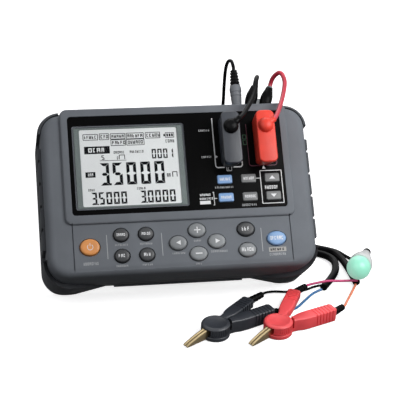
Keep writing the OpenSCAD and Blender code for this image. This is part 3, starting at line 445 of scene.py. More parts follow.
# The meter's own sizes, in millimetres: x across, y up the face, z out of the back
body_w, body_h, face_z = 192, 121, 53
case_half, case_low, case_high = 93.65, 3.35, 118.65
wall, wall_z = 2.2, 50.8
split_z, frame_z, panel_z, bed_z = 22, 55, 54, 53.15
panel_half, panel_low, panel_high, panel_gap = 75, 45, 115.4, 0.1
frame_half, frame_low, frame_root = 80.2, 38.8, 46
seam_x, seam_half, seam_depth = 75.65, 0.4, 0.8
window_left, window_low, window_right, window_high = -71.2, 49.8, 5.2, 107.8
hole_low, hole_high = 50, 60
black_x, red_x, socket_ys, socket_hole_d = 36.29, 60.86, (83.55, 102.55), 10.9
well_gap = 1.1
columns = [share * body_w for share in
           (-0.336, -0.2235, -0.1345, -0.021, 0.05, 0.119, 0.2285, 0.3385)]
rows = [share * body_h for share in (0.1305, 0.189, 0.251, 0.122, 0.258)]
small_key, wide_key = (10.4, 9.36), (12.2, 10)
round_keys = {
    "key_power": (columns[0], rows[1], 13.4, 11.52),
    "key_compare": (columns[1], rows[2], *small_key),
    "key_panel": (columns[2], rows[2], *small_key),
    "key_temperature": (columns[1], rows[0], *small_key),
    "key_average": (columns[2], rows[0], *small_key),
    "key_left": (columns[3], rows[1], *wide_key),
    "key_right": (columns[5], rows[1], *wide_key),
    "key_plus": (columns[4], rows[4], *wide_key),
    "key_minus": (columns[4], rows[3], *wide_key),
    "key_escape": (columns[6], rows[2], *wide_key),
    "key_enter": (columns[6], rows[0], *wide_key),
    "key_memory": (columns[7], rows[1], 13.4, 10)}

case_grey = moulded("case_grey", (0.157, 0.17, 0.188), 0.56, 2400, 0.00004, 0.05,
                    Specular_IOR_Level=0.1)
shell = block("front_shell", (-case_half, case_low, split_z), (case_half, case_high, face_z),
              14, 6, steps=6)
raised = block("raised_frame", (-frame_half, frame_low, frame_root),
               (frame_half, body_h, frame_z), 5, 1.4)
carved(shell, raised, "UNION")
wells = [block("inside", (-case_half + wall, case_low + wall, split_z - 1),
               (case_half - wall, case_high - wall, wall_z), 11.8),
         block("panel_bed", (-panel_half - panel_gap, panel_low - panel_gap, bed_z),
               (panel_half + panel_gap, panel_high + panel_gap, hole_high), 2.5),
         block("window_hole", (window_left, window_low, hole_low),
               (window_right, window_high, hole_high), 1.5)]
for x in (black_x, red_x):
    for y in socket_ys:
        wells.append(oval_hole("socket_hole", (x, y), socket_hole_d, socket_hole_d))
for place in round_keys.values():
    wells.append(oval_hole("well", place, place[2] + well_gap, place[3] + well_gap))
for side in (-1, 1):
    wells.append(block("seam", (side * seam_x - seam_half, case_low - 2, face_z - seam_depth),
                       (side * seam_x + seam_half, frame_low + 1, hole_high)))
carved(shell, joined(wells))
finished(shell, case_grey, ["front_case"], degrees=40)


# Rubber protector: a soft ring stretched round both shells, thick at the corners, with
# ribbed side bands that end short of the corner bumpers. It hides the shells' joint.
def softened(node, width, degrees=32):
    """A copy of a solid, its faces merged, with softly rounded edges."""
    piece = active(linked(node + "_soft", cad[node].data.copy()))
    bpy.ops.object.mode_set(mode="EDIT")
    bpy.ops.mesh.select_all(action="SELECT")
    bpy.ops.mesh.remove_doubles(threshold=2e-6)
    bpy.ops.mesh.dissolve_limited(angle_limit=math.radians(3))
    bpy.ops.object.mode_set(mode="OBJECT")
    soft = piece.modifiers.new("soft", "BEVEL")
    soft.width = width * mm
    soft.segments = 3
    soft.limit_method = "ANGLE"
    soft.angle_limit = math.radians(degrees)
    soft.use_clamp_overlap = True
    soft.harden_normals = False
    bpy.ops.object.modifier_apply(modifier=soft.name)
    return piece


protector_rubber = moulded("protector_rubber", (0.075, 0.08, 0.088), 0.56, 2000, 0.00005, 0.08,
                           Specular_IOR_Level=0.1)
protector = softened("protector", 0.9)
foot_end, foot_slope = 76, 7.9
for side in (-1, 1):
    ramp = block("ramp", (min(0, -30 * side), -6, -3), (max(0, -30 * side), 0, 33))
    ramp.data.transform(LEAN @ Matrix.Translation((foot_end * side, 0, 0))
                        @ Matrix.Rotation(math.radians(-foot_slope * side), 4, "Z"))
    carved(protector, ramp)
finished(protector, protector_rubber, ["protector"], place=None)


# Rear shell, battery cover and stand: dark moulded plastic, hidden from the front. The
# shell holds the cells and their contacts, the board, the key mat, the sockets and screws.
case_dark = moulded("case_dark", (0.05, 0.053, 0.057), 0.5, 2400, 0.00004)
for node, edge, body in (("rear_case", 0.4, "meter"), ("battery_cover", 0.3, "meter"),
                         ("stand", 0.5, "stand")):
    finished(softened(node, edge), case_dark, [node], body, place=None)


def dressed(node, material):
    """Gives a solid whose shape is right its finish."""
    mesh = cad[node].data
    mesh.materials.clear()
    mesh.materials.append(material)


sleeve_print = moulded("cell_sleeve", (0.32, 0.2, 0.07), 0.3, 1500, 0.00001)
nickel = moulded("nickel_plate", (0.6, 0.59, 0.56), 0.28, 1800, 0.00001, Metallic=1.0)
board_green = moulded("board_green", (0.02, 0.12, 0.05), 0.35, 1500, 0.00002)
silicone = moulded("silicone_mat", (0.42, 0.43, 0.44), 0.55, 1500, 0.00002)
socket_black = moulded("socket_black", (0.012, 0.012, 0.014), 0.3, 1500, 0.00001)
gilt = moulded("gilt_metal", (0.44, 0.35, 0.2), 0.34, 1300, 0.00002, 0.06, Metallic=1.0)
for node, material in {"battery_cells": sleeve_print, "battery_contacts": nickel,
                       "case_screws": nickel, "main_board": board_green,
                       "keypad_mat": silicone, "terminal_sockets": socket_black,
                       "top_jacks": socket_black, "plug_pins": gilt}.items():
    dressed(node, material)


# Panel: a glossy black printed sheet glued into its bed in the frame, and the clear window
# of the display, which is set flush in it.
panel_black = moulded("panel_black", (0.002, 0.002, 0.0022), 0.24, 700, 0.000004, 0.02,
                      Specular_IOR_Level=0.03)
dressed("panel_overlay", panel_black)

window_clear = Finish("window_clear", Roughness=0.06, Alpha=0.05)
window_haze = window_clear.noise(30)
window_clear.feed("Base Color", window_clear.mix(window_haze, (0.02, 0.02, 0.02, 1),
                                                 (0.03, 0.03, 0.03, 1)))
dressed("display_window", window_clear.material)


# Display: a pale liquid crystal glass in a printed grey-green border, held behind the
# window. Its figures are dark bars, thin as ink.
glass_pale = moulded("glass_pale", (0.92, 0.95, 0.95), 0.4, 600, 0.000002, 0.02)
border_green = moulded("border_green", (0.15, 0.185, 0.18), 0.42, 900, 0.00001, 0.03)
segment_ink = moulded("segment_ink", (0.003, 0.0035, 0.005), 0.5, 900, 0.000002, 0.05,
                      Specular_IOR_Level=0.05)
display_z, glass_z, border_gap, glass_gap = 52.9, 52.3, 0.3, 0.1
glass_left, glass_low, glass_right, glass_high = -67.1, 51.3, 1.2, 106.3
border = block("display_border", (window_left + border_gap, window_low + border_gap, 49),
               (window_right - border_gap, window_high - border_gap, display_z), 0.8,
               corner_steps=6)
opening = block("opening", (glass_left - glass_gap, glass_low - glass_gap, 48),
                (glass_right + glass_gap, glass_high + glass_gap, hole_high), 1.2,
                corner_steps=6)
carved(border, opening)
finished(border, border_green)
glass = block("display_glass", (glass_left, glass_low, 48.3), (glass_right, glass_high, glass_z),
              1.1, corner_steps=6)
finished(glass, glass_pale, ["display_module"])


def drawn(name, vertices, edges, faces):
    """A piece of the given points and lines or faces, made the active one."""
    mesh = bpy.data.meshes.new(name)
    mesh.from_pydata(vertices, edges, faces)
    return active(linked(name, mesh))


def inked(name, marks, level, ink, body="meter", thick=0.04):
    """Printed marks, each a flat outline, as one thin layer of ink."""
    vertices, faces = [], []
    for outline in marks:
        start = len(vertices)
        sides = zip(outline, outline[1:] + outline[:1])
        area = sum(a[0] * b[1] - b[0] * a[1] for a, b in sides)
        ring = outline if area > 0 else outline[::-1]
        vertices += [(x, y, level) for x, y in ring]
        faces.append(range(start, start + len(ring)))
    piece = drawn(name, vertices, [], faces)
    coat = piece.modifiers.new("coat", "SOLIDIFY")
    coat.thickness = thick
    coat.offset = 1
    bpy.ops.object.modifier_apply(modifier=coat.name)
    return finished(piece, ink, (), body)


def box(x0, y0, x1, y1):
    return [(min(x0, x1), min(y0, y1)), (max(x0, x1), min(y0, y1)),
            (max(x0, x1), max(y0, y1)), (min(x0, x1), max(y0, y1))]


def stroke(x0, y0, x1, y1, width):
    along = Vector((x1 - x0, y1 - y0)).normalized() * width / 2
    side = Vector((-along.y, along.x))
    a, b = Vector((x0, y0)), Vector((x1, y1))
    return [tuple(a - side), tuple(b - side), tuple(b + side), tuple(a + side)]


def frame_lines(x0, y0, x1, y1, width):
    return [stroke(x0, y0, x1, y0, width), stroke(x1, y0, x1, y1, width),
            stroke(x1, y1, x0, y1, width), stroke(x0, y1, x0, y0, width)]


SEGMENTS = {"0": "abcdef", "1": "bc", "3": "abgcd", "5": "afgcd"}


def digit(figure, x0, y0, x1, y1, width):
    """One figure of seven bars, mitred where they meet at a corner."""
    mid, half, gap = (y0 + y1) / 2, width / 2, width * 0.05
    left, right, top, low = x0 + half, x1 - half, y1 - half, y0 + half
    bars = {"a": (left, top, right, top, 0, 1, half, half),
            "b": (right, top, right, mid, 1, 0, half, 0),
            "c": (right, mid, right, low, 1, 0, 0, half),
            "d": (left, low, right, low, 0, -1, half, half),
            "e": (left, mid, left, low, -1, 0, 0, half),
            "f": (left, top, left, mid, -1, 0, half, 0)}
    marks = []
    for name in SEGMENTS[figure]:
        if name == "g":
            marks.append([(left + gap, mid), (left + half, mid - half), (right - half, mid - half),
                          (right - gap, mid), (right - half, mid + half), (left + half, mid + half)])
            continue
        ax, ay, bx, by, out_x, out_y, grow_a, grow_b = bars[name]
        a, b, out = Vector((ax, ay)), Vector((bx, by)), Vector((out_x, out_y)) * half
        way = (b - a).normalized()
        outline = [a + out - way * (grow_a - gap), b + out + way * (grow_b - gap),
                   b - out - way * (half + gap), a - out + way * (half + gap)]
        marks.append([tuple(point) for point in outline])
    return marks


def lettering(x0, y0, x1, y1, seed, width=0.9, gap=0.4):
    """A row of small upright blots, as generic print too small to read."""
    rng = random.Random(seed)
    marks, x = [], min(x0, x1)
    low, high = min(y0, y1), max(y0, y1)
    while x < max(x0, x1) - width * 0.5:
        w = width * rng.uniform(0.75, 1.15)
        bar = (high - low) * 0.24
        marks.append(box(x, low, x + w * 0.3, high))
        if rng.random() < 0.7:
            marks.append(box(x + w * 0.7, low, x + w, high))
        for level in rng.sample([low, (low + high - bar) / 2, high - bar], 2):
            marks.append(box(x + w * 0.3, level, x + w * 0.7, level + bar))
        x += w + gap
    return marks


marks = []
for x0, y0, x1, y1, seed in ((-64.5, 98.9, -54.4, 103.0, 1), (-53.1, 98.9, -46.7, 103.2, 2),
                             (-45.5, 99.1, -35.3, 103.0, 3), (-34.3, 98.9, -22.3, 103.0, 4),
                             (-21.0, 98.9, -10.8, 103.0, 5), (-45.3, 94.4, -35.2, 98.6, 6),
                             (-34.3, 94.3, -22.2, 98.5, 7)):
    marks += frame_lines(x0, y0, x1, y1, 0.45)
    marks += lettering(x0 + 0.8, y0 + 0.9, x1 - 0.7, y1 - 0.9, seed, 1.5, 0.45)
marks += frame_lines(-6.9, 98.9, -0.9, 102.4, 0.4) + [box(-8.3, 99.9, -7.1, 101.4)]
marks += [box(x, 99.6, x + 1.2, 101.7) for x in (-6.2, -4.5, -2.8)]
marks += lettering(-7.0, 95.2, -1.2, 97.4, 8, 1.2, 0.5)
marks += [box(-64.2, 88.8, -46.5, 94.2), box(-64.4, 72.0, -57.5, 75.9)]
marks += lettering(-43.9, 88.5, -36.9, 90.3, 9, 0.9)
marks += digit("5", -52.6, 84.4, -50.6, 87.6, 0.55)
marks += frame_lines(-40.2, 84.4, -36.5, 87.4, 0.5)[1:]
marks += lettering(-41.9, 84.3, -40.6, 86.4, 10)
marks += [stroke(-53.8, 83.8, -35.5, 83.6, 0.35)]
marks += lettering(-32.7, 88.6, -22.9, 90.4, 11, 0.9)
for k, figure in enumerate("0001"):
    marks += digit(figure, -17.4 + 4.0 * k, 84.0, -14.4 + 4.0 * k, 90.9, 0.95)
for figure, x0, x1 in (("3", -54.2, -47.9), ("5", -45.4, -38.7), ("0", -35.9, -29.1),
                       ("0", -26.1, -19.3), ("0", -16.3, -9.5)):
    marks += digit(figure, x0, 66.0, x1, 82.0, 2.15)
marks += [box(-48.0, 66.0, -46.7, 67.5)]
marks += lettering(-7.9, 70.2, -5.0, 72.9, 12, 1.2)
marks += frame_lines(-3.9, 70.4, -0.8, 73.9, 0.6)[1:]
for x_first, figures in ((-61.3, "35000"), (-27.5, "30000")):
    for k, figure in enumerate(figures):
        marks += digit(figure, x_first + 5.15 * k, 52.6, x_first + 5.15 * k + 3.9, 61.3, 1.25)
    marks += [box(x_first + 4.0, 52.4, x_first + 4.8, 53.3)]
marks += lettering(-63.1, 62.3, -58.4, 63.9, 13, 0.9)
marks += lettering(-29.4, 62.1, -24.0, 63.8, 14, 0.9)
inked("display_figures", marks, glass_z + 0.01, segment_ink)
pale_on_black = lettering(-61.4, 90.0, -49.2, 93.0, 15, 2.2, 0.8)
pale_on_black += lettering(-62.6, 73.0, -59.2, 75.0, 16, 1.0)
inked("display_block_figures", pale_on_black, glass_z + 0.06, glass_pale)


# Print on the panel and the face: brackets round the terminals, captions and dividers, in
# matt inks of five colours. The words are blots too small to read.
def printing_ink(name, colour):
    return moulded(name, colour, 0.5, 900, 0.000004, 0.05)


ink_white = printing_ink("ink_white", (0.72, 0.73, 0.74))
ink_grey = printing_ink("ink_grey", (0.36, 0.37, 0.38))
ink_maroon = printing_ink("ink_maroon", (0.07, 0.005, 0.025))
ink_green = printing_ink("ink_green", (0.01, 0.09, 0.035))


def bracket(x0, x1, top_left, top_right, low, width, gap):
    """Three sides of a box with rounded lower corners, open above and at the gap below."""
    r = 1.8
    marks = [stroke(x0, top_left, x0, low + r, width), stroke(x1, low + r, x1, top_right, width)]
    for centre, start in (((x0 + r, low + r), 180), ((x1 - r, low + r), 270)):
        for k in range(6):
            a, b = (math.radians(start + 90 * step / 6) for step in (k, k + 1))
            marks.append(stroke(centre[0] + r * math.cos(a), centre[1] + r * math.sin(a),
                                centre[0] + r * math.cos(b), centre[1] + r * math.sin(b), width))
    marks += [stroke(x0 + r, low, gap[0], low, width), stroke(gap[1], low, x1 - r, low, width)]
    return marks


panel_marks = bracket(26.6, 45.6, 111.3, 79.2, 75.1, 0.75, (32.8, 39.2))
panel_marks += [[(26.4, 84.6), (28.7, 83.0), (26.4, 81.4)]]
panel_marks += frame_lines(57.6, 48.0, 72.8, 71.6, 0.5)
panel_marks += [stroke(54.4, 66.3, 57.6, 66.3, 0.45)]
panel_marks += lettering(60.2, 58.3, 70.4, 60.7, 21, 1.2, 0.5)
panel_marks += [stroke(23.5, 48.4, 23.5, 57.5, 0.4), stroke(23.5, 53.0, 25.6, 53.0, 0.4),
                stroke(22.7, 57.5, 23.7, 57.5, 0.4), stroke(22.7, 48.4, 23.7, 48.4, 0.4)]
panel_marks += lettering(13.8, 55.1, 20.7, 56.7, 22, 0.9)
panel_marks += [box(13.4, 49.2, 20.9, 51.6)]
panel_marks += lettering(16.6, 101.8, 24.3, 103.2, 23, 0.8)
panel_marks += lettering(17.2, 82.4, 24.4, 83.8, 24, 0.8)
panel_marks += lettering(13.4, 52.4, 22.2, 53.9, 26, 0.8)
inked("panel_print", panel_marks, panel_z, ink_white)
grey_marks = frame_lines(34.3, 72.5, 37.7, 75.9, 0.45) + lettering(35.2, 73.3, 36.9, 75.1, 25, 1.3)
grey_marks += lettering(24.9, 60.1, 38.3, 61.5, 27, 0.9)
grey_marks += lettering(43.0, 46.7, 53.7, 48.3, 28, 0.9)
inked("panel_print_grey", grey_marks, panel_z, ink_grey)
inked("panel_print_maroon", bracket(50.6, 70.4, 106, 79, 75.4, 0.6, (58.6, 62.6)),
      panel_z, ink_maroon)
inked("panel_print_pale", [[(59.4, 73.0), (61.8, 73.0), (60.6, 75.6)]], panel_z, ink_white)
green_marks = frame_lines(47.6, 91.0, 49.9, 94.4, 0.5) + frame_lines(47.6, 95.2, 49.9, 98.2, 0.5)
inked("panel_print_green", green_marks, panel_z, ink_green)

face_marks = [stroke(-52.8, 14.3, -52.8, 31.0, 0.5), stroke(-15.1, 14.7, -15.1, 30.6, 0.5),
              stroke(54.6, 14.2, 54.6, 30.8, 0.5)]
inked("face_dividers", face_marks, face_z, ink_grey)
captions = []
for x0, y0, x1, y1, seed, letter in (
        (-69.5, 10.6, -59.4, 12.6, 31, 1.0), (-47.4, 23.0, -38.6, 24.3, 32, 0.8),
        (-30.2, 23.0, -21.4, 24.3, 33, 0.8), (-47.4, 8.4, -38.6, 9.7, 34, 0.8),
        (-29.4, 8.4, -22.2, 9.7, 35, 0.8), (-8.4, 15.2, 0.4, 16.5, 36, 0.8),
        (18.4, 15.2, 29.8, 16.6, 37, 0.8), (7.0, 23.3, 12.4, 24.6, 38, 0.8),
        (7.2, 7.2, 12.2, 8.4, 39, 0.8)):
    captions += lettering(x0, y0, x1, y1, seed, letter)
inked("face_captions", captions, face_z, ink_grey)
ink_beige = printing_ink("ink_beige", (0.36, 0.35, 0.33))
inked("memory_caption", [box(59.0, 13.6, 71.2, 16.7)], face_z, ink_beige)
inked("memory_caption_dark", lettering(60.0, 14.3, 70.4, 16.0, 41, 1.3), face_z + 0.04,
      segment_ink)
inked("memory_caption_low", lettering(59.2, 10.9, 71.2, 12.6, 40, 1.0), face_z, ink_grey)


# Keys: twelve round and oval rubber keys with rounded edges, and six small oblong ones on
# the panel, each pressing on the mat behind. Their signs are printed on the faces.
def turned(name, profile, steps=40, across=(1, 1)):
    """A solid spun round the upright axis from its (radius, height) profile."""
    piece = drawn(name, [(radius, 0, height) for radius, height in profile],
                  [(k, k + 1) for k in range(len(profile) - 1)], [])
    bpy.ops.object.mode_set(mode="EDIT")
    bpy.ops.mesh.select_all(action="SELECT")
    bpy.ops.mesh.spin(steps=steps, angle=2 * math.pi, center=(0, 0, 0), axis=(0, 0, 1))
    bpy.ops.mesh.select_all(action="SELECT")
    bpy.ops.mesh.remove_doubles(threshold=1e-3)
    bpy.ops.mesh.normals_make_consistent(inside=False)
    bpy.ops.object.mode_set(mode="OBJECT")
    if across != (1, 1):
        piece.data.transform(Matrix.Diagonal((*across, 1, 1)))
    return piece


def moved(piece, x, y):
    piece.data.transform(Matrix.Translation((x, y, 0)))
    return piece


def key_rubber(name, colour, rough=0.42):
    return moulded(name, colour, rough, 2000, 0.00002)


key_top, square_top, key_root, flange_top = 55, 55.2, 49.8, 50.7
flange, sign_thick = 0.9, 0.05
key_dark = key_rubber("key_dark", (0.02, 0.022, 0.025))
key_grey = key_rubber("key_grey", (0.2, 0.213, 0.222))
key_orange = key_rubber("key_orange", (0.74, 0.3, 0.085))
key_blue = key_rubber("key_blue", (0.2, 0.36, 0.64), 0.36)
key_memory = key_rubber("key_memory", (0.19, 0.33, 0.56), 0.36)
key_light = key_rubber("key_light", (0.145, 0.15, 0.152), 0.4)
key_finish = {"key_power": (key_orange, "key_orange"), "key_memory": (key_memory, "key_blue")}
for name in ("key_compare", "key_panel", "key_temperature", "key_average"):
    key_finish[name] = (key_dark, "key_dark")
for name in ("key_left", "key_right", "key_plus", "key_minus", "key_enter"):
    key_finish[name] = (key_grey, "key_grey")
key_finish["key_escape"] = (key_dark, "key_grey")


def word(centre, width, height, seed, letter=0.9):
    """A row of blots with its middle at the given place."""
    x, y = centre
    return lettering(x - width / 2, y - height / 2, x + width / 2, y + height / 2,
                     seed, letter, letter * 0.35)


def arrow(x, y, size, way):
    return [[(x + way * size, y), (x - way * size * 0.7, y + size * 0.85),
             (x - way * size * 0.7, y - size * 0.85)]]


def ring_marks(x, y, radius, width, start, end):
    """Part of a circle, as short strokes."""
    marks, count = [], 18
    for k in range(count):
        a, b = (math.radians(start + (end - start) * j / count) for j in (k, k + 1))
        marks.append(stroke(x + radius * math.cos(a), y + radius * math.sin(a),
                            x + radius * math.cos(b), y + radius * math.sin(b), width))
    return marks


for name, (x, y, width, height) in round_keys.items():
    half = width / 2
    profile = [(0, key_root), (half + flange, key_root), (half + flange, flange_top),
               (half, flange_top + 0.05), (half, key_top - 1.5), (half - 0.12, key_top - 0.95),
               (half - 0.5, key_top - 0.5), (half - 1.1, key_top - 0.2),
               (half - 2, key_top - 0.06), (half * 0.45, key_top), (0, key_top)]
    material, slot = key_finish[name]
    key = turned(name + "_cap", profile, 48, (1, height / width))
    finished(moved(key, x, y), material, [name], name, degrees=40)

middle = (0, 0)
signs = {
    "key_power": ring_marks(0, -0.2, 1.9, 0.45, 125, 415) + [stroke(0, 0.4, 0, 2.5, 0.45)],
    "key_compare": word(middle, 6.4, 1.9, 51),
    "key_panel": word(middle, 6.2, 1.9, 52),
    "key_temperature": word(middle, 5.4, 2.2, 53, 1.2),
    "key_average": word(middle, 5.0, 2.2, 54, 1.2),
    "key_left": arrow(0.2, 0, 1.9, -1),
    "key_right": arrow(0.2, 0, 1.9, 1),
    "key_plus": [stroke(-2.2, 0, 2.2, 0, 0.75), stroke(0, -2.2, 0, 2.2, 0.75)],
    "key_minus": [stroke(-2.3, 0, 2.3, 0, 0.85)],
    "key_escape": word(middle, 6.0, 2.6, 55, 1.5),
    "key_enter": word(middle, 8.8, 2.6, 56, 1.3),
    "key_memory": word(middle, 9.4, 2.6, 57, 1.2)}
for name, marks in signs.items():
    x, y = round_keys[name][:2]
    marks = [[(a + x, b + y) for a, b in outline] for outline in marks]
    inked(name + "_sign", marks, key_top, ink_white, name, sign_thick)

square_half_w, square_half_h = 5.25, 3.1
square_keys = {"key_blue_upper": (32.0, 66.3), "key_blue_lower": (32.0, 53.3),
               "key_grey_upper": (48.9, 66.3), "key_grey_lower": (48.9, 53.3),
               "key_range_up": (65.7, 66.3), "key_range_down": (65.7, 53.3)}
for n, (name, (x, y)) in enumerate(square_keys.items()):
    cap = block(name + "_cap", (x - square_half_w, y - square_half_h, key_root),
                (x + square_half_w, y + square_half_h, square_top), 1, 0.7)
    material, slot = (key_blue, "key_blue") if "blue" in name else (key_light, "key_grey")
    finished(cap, material, [name], name)
    if "range" in name:
        way = 1 if name == "key_range_up" else -1
        marks = [[(x - 2.2, y - 1.1 * way), (x + 2.2, y - 1.1 * way), (x, y + 1.3 * way)]]
    else:
        marks = word((x, y), 7.4, 1.9, 60 + n, 1.0)
    inked(name + "_sign", marks, square_top, ink_white, name, sign_thick)


# Plugs: a black and a red moulded double plug standing in the terminals. Each widens to
# its front face, where the cord leaves through a round collar and a ribbed boot.
plug_black = moulded("plug_black", (0.021, 0.025, 0.034), 0.34, 2000, 0.00002)
plug_red = moulded("plug_red", (0.76, 0.055, 0.033), 0.34, 2000, 0.00002, Specular_IOR_Level=0.3)
boot_black = moulded("boot_black", (0.004, 0.004, 0.0045), 0.24, 2000, 0.00002,
                     Specular_IOR_Level=0.07)


def along(start, end):
    """The turn and place that carry the upright axis onto a line."""
    way = (Vector(end) - Vector(start)).normalized()
    return Matrix.Translation(start) @ way.to_track_quat("Z", "Y").to_matrix().to_4x4()


def ribbed(name, start, end, r_start, r_end, ribs, depth):
    """A turned boot between two points, with ribs round it."""
    length = (Vector(end) - Vector(start)).length
    cap = 0.6
    profile = [(0, 0), (r_start - cap, 0), (r_start, cap)]
    count = max(ribs * 2, 1)
    for k in range(1, count):
        share = k / count
        radius = r_start + (r_end - r_start) * share
        low = radius - depth if k % 2 else radius
        width = length / count * 0.3
        profile += [(low, length * share - width), (low, length * share + width)]
    profile += [(r_end, length - cap), (max(r_end - cap, 0.2), length), (0, length)]
    piece = turned(name, profile, 28)
    piece.data.transform(along(start, end))
    return piece


plug_half, plug_low, plug_high, plug_face = 5.5, 75.5, 110.5, 72.6
plug_cord_y = 99.35
collar = [(0, 68), (5.4, 68), (5.4, plug_face), (5.1, 74), (4.5, 75.3), (3.5, 76.4), (1.8, 77),
          (0, 77.1)]
for name, x, branch, body_finish, boot_finish, slot in (
        ("black_plug", black_x, black_branch_route, plug_black, boot_black, "plug_black"),
        ("red_plug", red_x, red_branch_route, plug_red, plug_red, "plug_red")):
    body = block(name + "_body", (x - plug_half, plug_low, panel_z),
                 (x + plug_half, plug_high, plug_face), 3.4, corner_steps=6)
    active(body)
    bpy.ops.object.mode_set(mode="EDIT")
    pick_faces(body, lambda face: face.normal.z > 0.9)
    bpy.ops.transform.resize(value=(1.2, 1.08, 1), center_override=(x - 0.3, plug_high, plug_face))
    level_edges(body, plug_face)
    round_off(1.3)
    bpy.ops.object.mode_set(mode="OBJECT")
    finished(body, body_finish, [name])
    finished(moved(turned(name + "_collar", collar), x, plug_cord_y), boot_finish)
    root = meter_point(x, plug_cord_y, plug_face + 1)
    tip = Vector(branch[0])
    exit_boot = ribbed(name + "_boot", root, tip + (tip - root) * 0.12, 2.9, 2.1, 2, 0.25)
    finished(exit_boot, boot_finish, place=MILLI)


# Lamp plug: a slim grey plastic plug pushed into the upper side, flared and ringed, with a
# ribbed black boot. Its cord hangs down behind the meter.
plug_grey = moulded("plug_grey", (0.13, 0.14, 0.155), 0.4, 1800, 0.00002)
profile = [(0, -6), (1.7, -6), (1.7, 0.2), (3.2, 0.4), (3.5, 6), (3.9, 11.4), (3.9, 11.7),
           (3.65, 11.9), (3.65, 12.5), (4.0, 12.7), (4.1, 14.6), (3.8, 14.8), (3.8, 15.4),
           (4.2, 15.6), (4.3, 17.8), (4.1, 18.9), (3.8, 20.3), (3.4, 20.7), (0, 20.7)]
lamp_plug_body = turned("lamp_plug_body", profile, 36)
upright = Matrix.Rotation(-math.pi / 2, 4, "X")
lamp_plug_body.data.transform(
    Matrix.Translation((lamp_plug_x, case_high, lamp_plug_z)) @ upright)
finished(lamp_plug_body, plug_grey, ["lamp_plug"])
finished(ribbed("lamp_plug_boot", meter_point(lamp_plug_x, case_high + 20.4, lamp_plug_z),
                meter_point(lamp_plug_x, case_high + 32.3, lamp_plug_z), 3.7, 2.6, 5, 0.5),
         boot_black, place=MILLI)


# Junction: a grey moulded block behind the upper edge where the two plug cords join the
# main cord, with a bulb-shaped black boot for each of them.
junction_grey = moulded("junction_grey", (0.26, 0.275, 0.29), 0.4, 1800, 0.00002)
junction_half = 6.7
junction = block("junction_body", (junction_x - junction_half, 123.8, 24),
                 (junction_x + junction_half, 130.2, junction_top), 2.6, 1.2, 1.2)
finished(junction, junction_grey, ["junction_block"])


def bulb(name, start, end):
    """A turned boot between two points, thickest near its middle."""
    length = (Vector(end) - Vector(start)).length
    shares = ((0, 0), (3.2, 0), (3.9, 0.12), (4.3, 0.28), (4.4, 0.44), (4.1, 0.6), (3.4, 0.76),
              (2.9, 0.88), (2.55, 0.97), (2.1, 1), (0, 1))
    piece = turned(name, [(radius, share * length) for radius, share in shares], 32)
    piece.data.transform(along(start, end))
    return piece


black_boot_root = meter_point(57.8, 123.6, junction_top)
red_boot_root = meter_point(68.7, 123.6, junction_top)
for name, root, tip in (("black_branch_boot", black_boot_root, black_boot_tip),
                        ("red_branch_boot", red_boot_root, red_boot_tip)):
    finished(bulb(name, root, tip), boot_black, place=MILLI)
tip_way = (red_boot_tip - red_boot_root).normalized()
finished(ribbed("red_boot_rim", red_boot_tip - tip_way * 0.6, red_boot_tip + tip_way * 1.1,
                2.5, 2.3, 1, 0.1),
         junction_grey, place=MILLI)
declared(black_line)
declared(red_line)


# Splitter: a soft black moulding on the table behind the meter where the main cord parts
# into the two legs.
finished(softened("cord_splitter", 0.5, 30), boot_black, ["cord_splitter"],
         place=None)
declared(main_line)


# Clips: each has a round drum with a ribbed side, a lever handle and a fixed handle, two
# gilt jaws, and a ribbed boot on each handle where the wire leaves.
def clip_place(pivot, way):
    return Matrix.Translation((pivot[0], pivot[1], 0)) @ Matrix.Rotation(math.radians(way), 4, "Z")


def pulled_out(name, corners, by):
    """A flat outline pulled out to a solid, left in edit mode."""
    piece = drawn(name, corners, [], [range(len(corners))])
    bpy.ops.object.mode_set(mode="EDIT")
    bpy.ops.mesh.select_all(action="SELECT")
    bpy.ops.mesh.extrude_region_move(TRANSFORM_OT_translate={"value": by})
    bpy.ops.mesh.select_all(action="SELECT")
    bpy.ops.mesh.normals_make_consistent(inside=False)
    return piece


def handle(name, start, length, low, high, ribs):
    """A handle along x: slim at the root, wide and ribbed at the end."""
    half, rib_step, groove_half = 4.7, 2.6, 0.45
    outline = [(start, 2.8), (start + 5, 3.2), (length * 0.38, 4.3), (length * 0.5, half),
               (length - 1.6, half), (length, 3.4)]
    outline += [(x, -y) for x, y in outline[::-1]]
    piece = pulled_out(name, [(x, y, low) for x, y in outline], (0, 0, high - low))
    level_edges(piece, high)
    round_off(1.1)
    level_edges(piece, low)
    round_off(0.7, 3)
    bpy.ops.object.mode_set(mode="OBJECT")
    grooves = []
    for k in range(ribs):
        x = length - 4 - k * rib_step
        for y, deep, bottom in ((-half, 0.5, low - 1), (half, 0.5, low - 1), (0, 6, high - 0.35)):
            grooves.append(block("groove", (x - groove_half, y - deep, bottom),
                                 (x + groove_half, y + deep, high + 1)))
    return carved(piece, joined(grooves))


def drum(name, low, high, radius):
    """The round middle of a clip, with fine grooves round its side."""
    teeth, groove_half = 40, 0.36
    profile = [(0, low), (radius - 0.5, low), (radius, low + 0.5), (radius, high - 1.5),
               (radius - 0.25, high - 0.9), (radius - 0.8, high - 0.35),
               (radius - 1.5, high - 0.1), (radius - 2.3, high), (radius - 2.9, high - 0.35),
               (0, high - 0.35)]
    piece = turned(name, profile, 72)
    grooves = []
    for k in range(teeth):
        groove = block("groove", (radius - 0.6, -groove_half, low + 0.8),
                       (radius + 1, groove_half, high - 1.2))
        groove.data.transform(Matrix.Rotation(2 * math.pi * (k + 0.5) / teeth, 4, "Z"))
        grooves.append(groove)
    return carved(piece, joined(grooves))


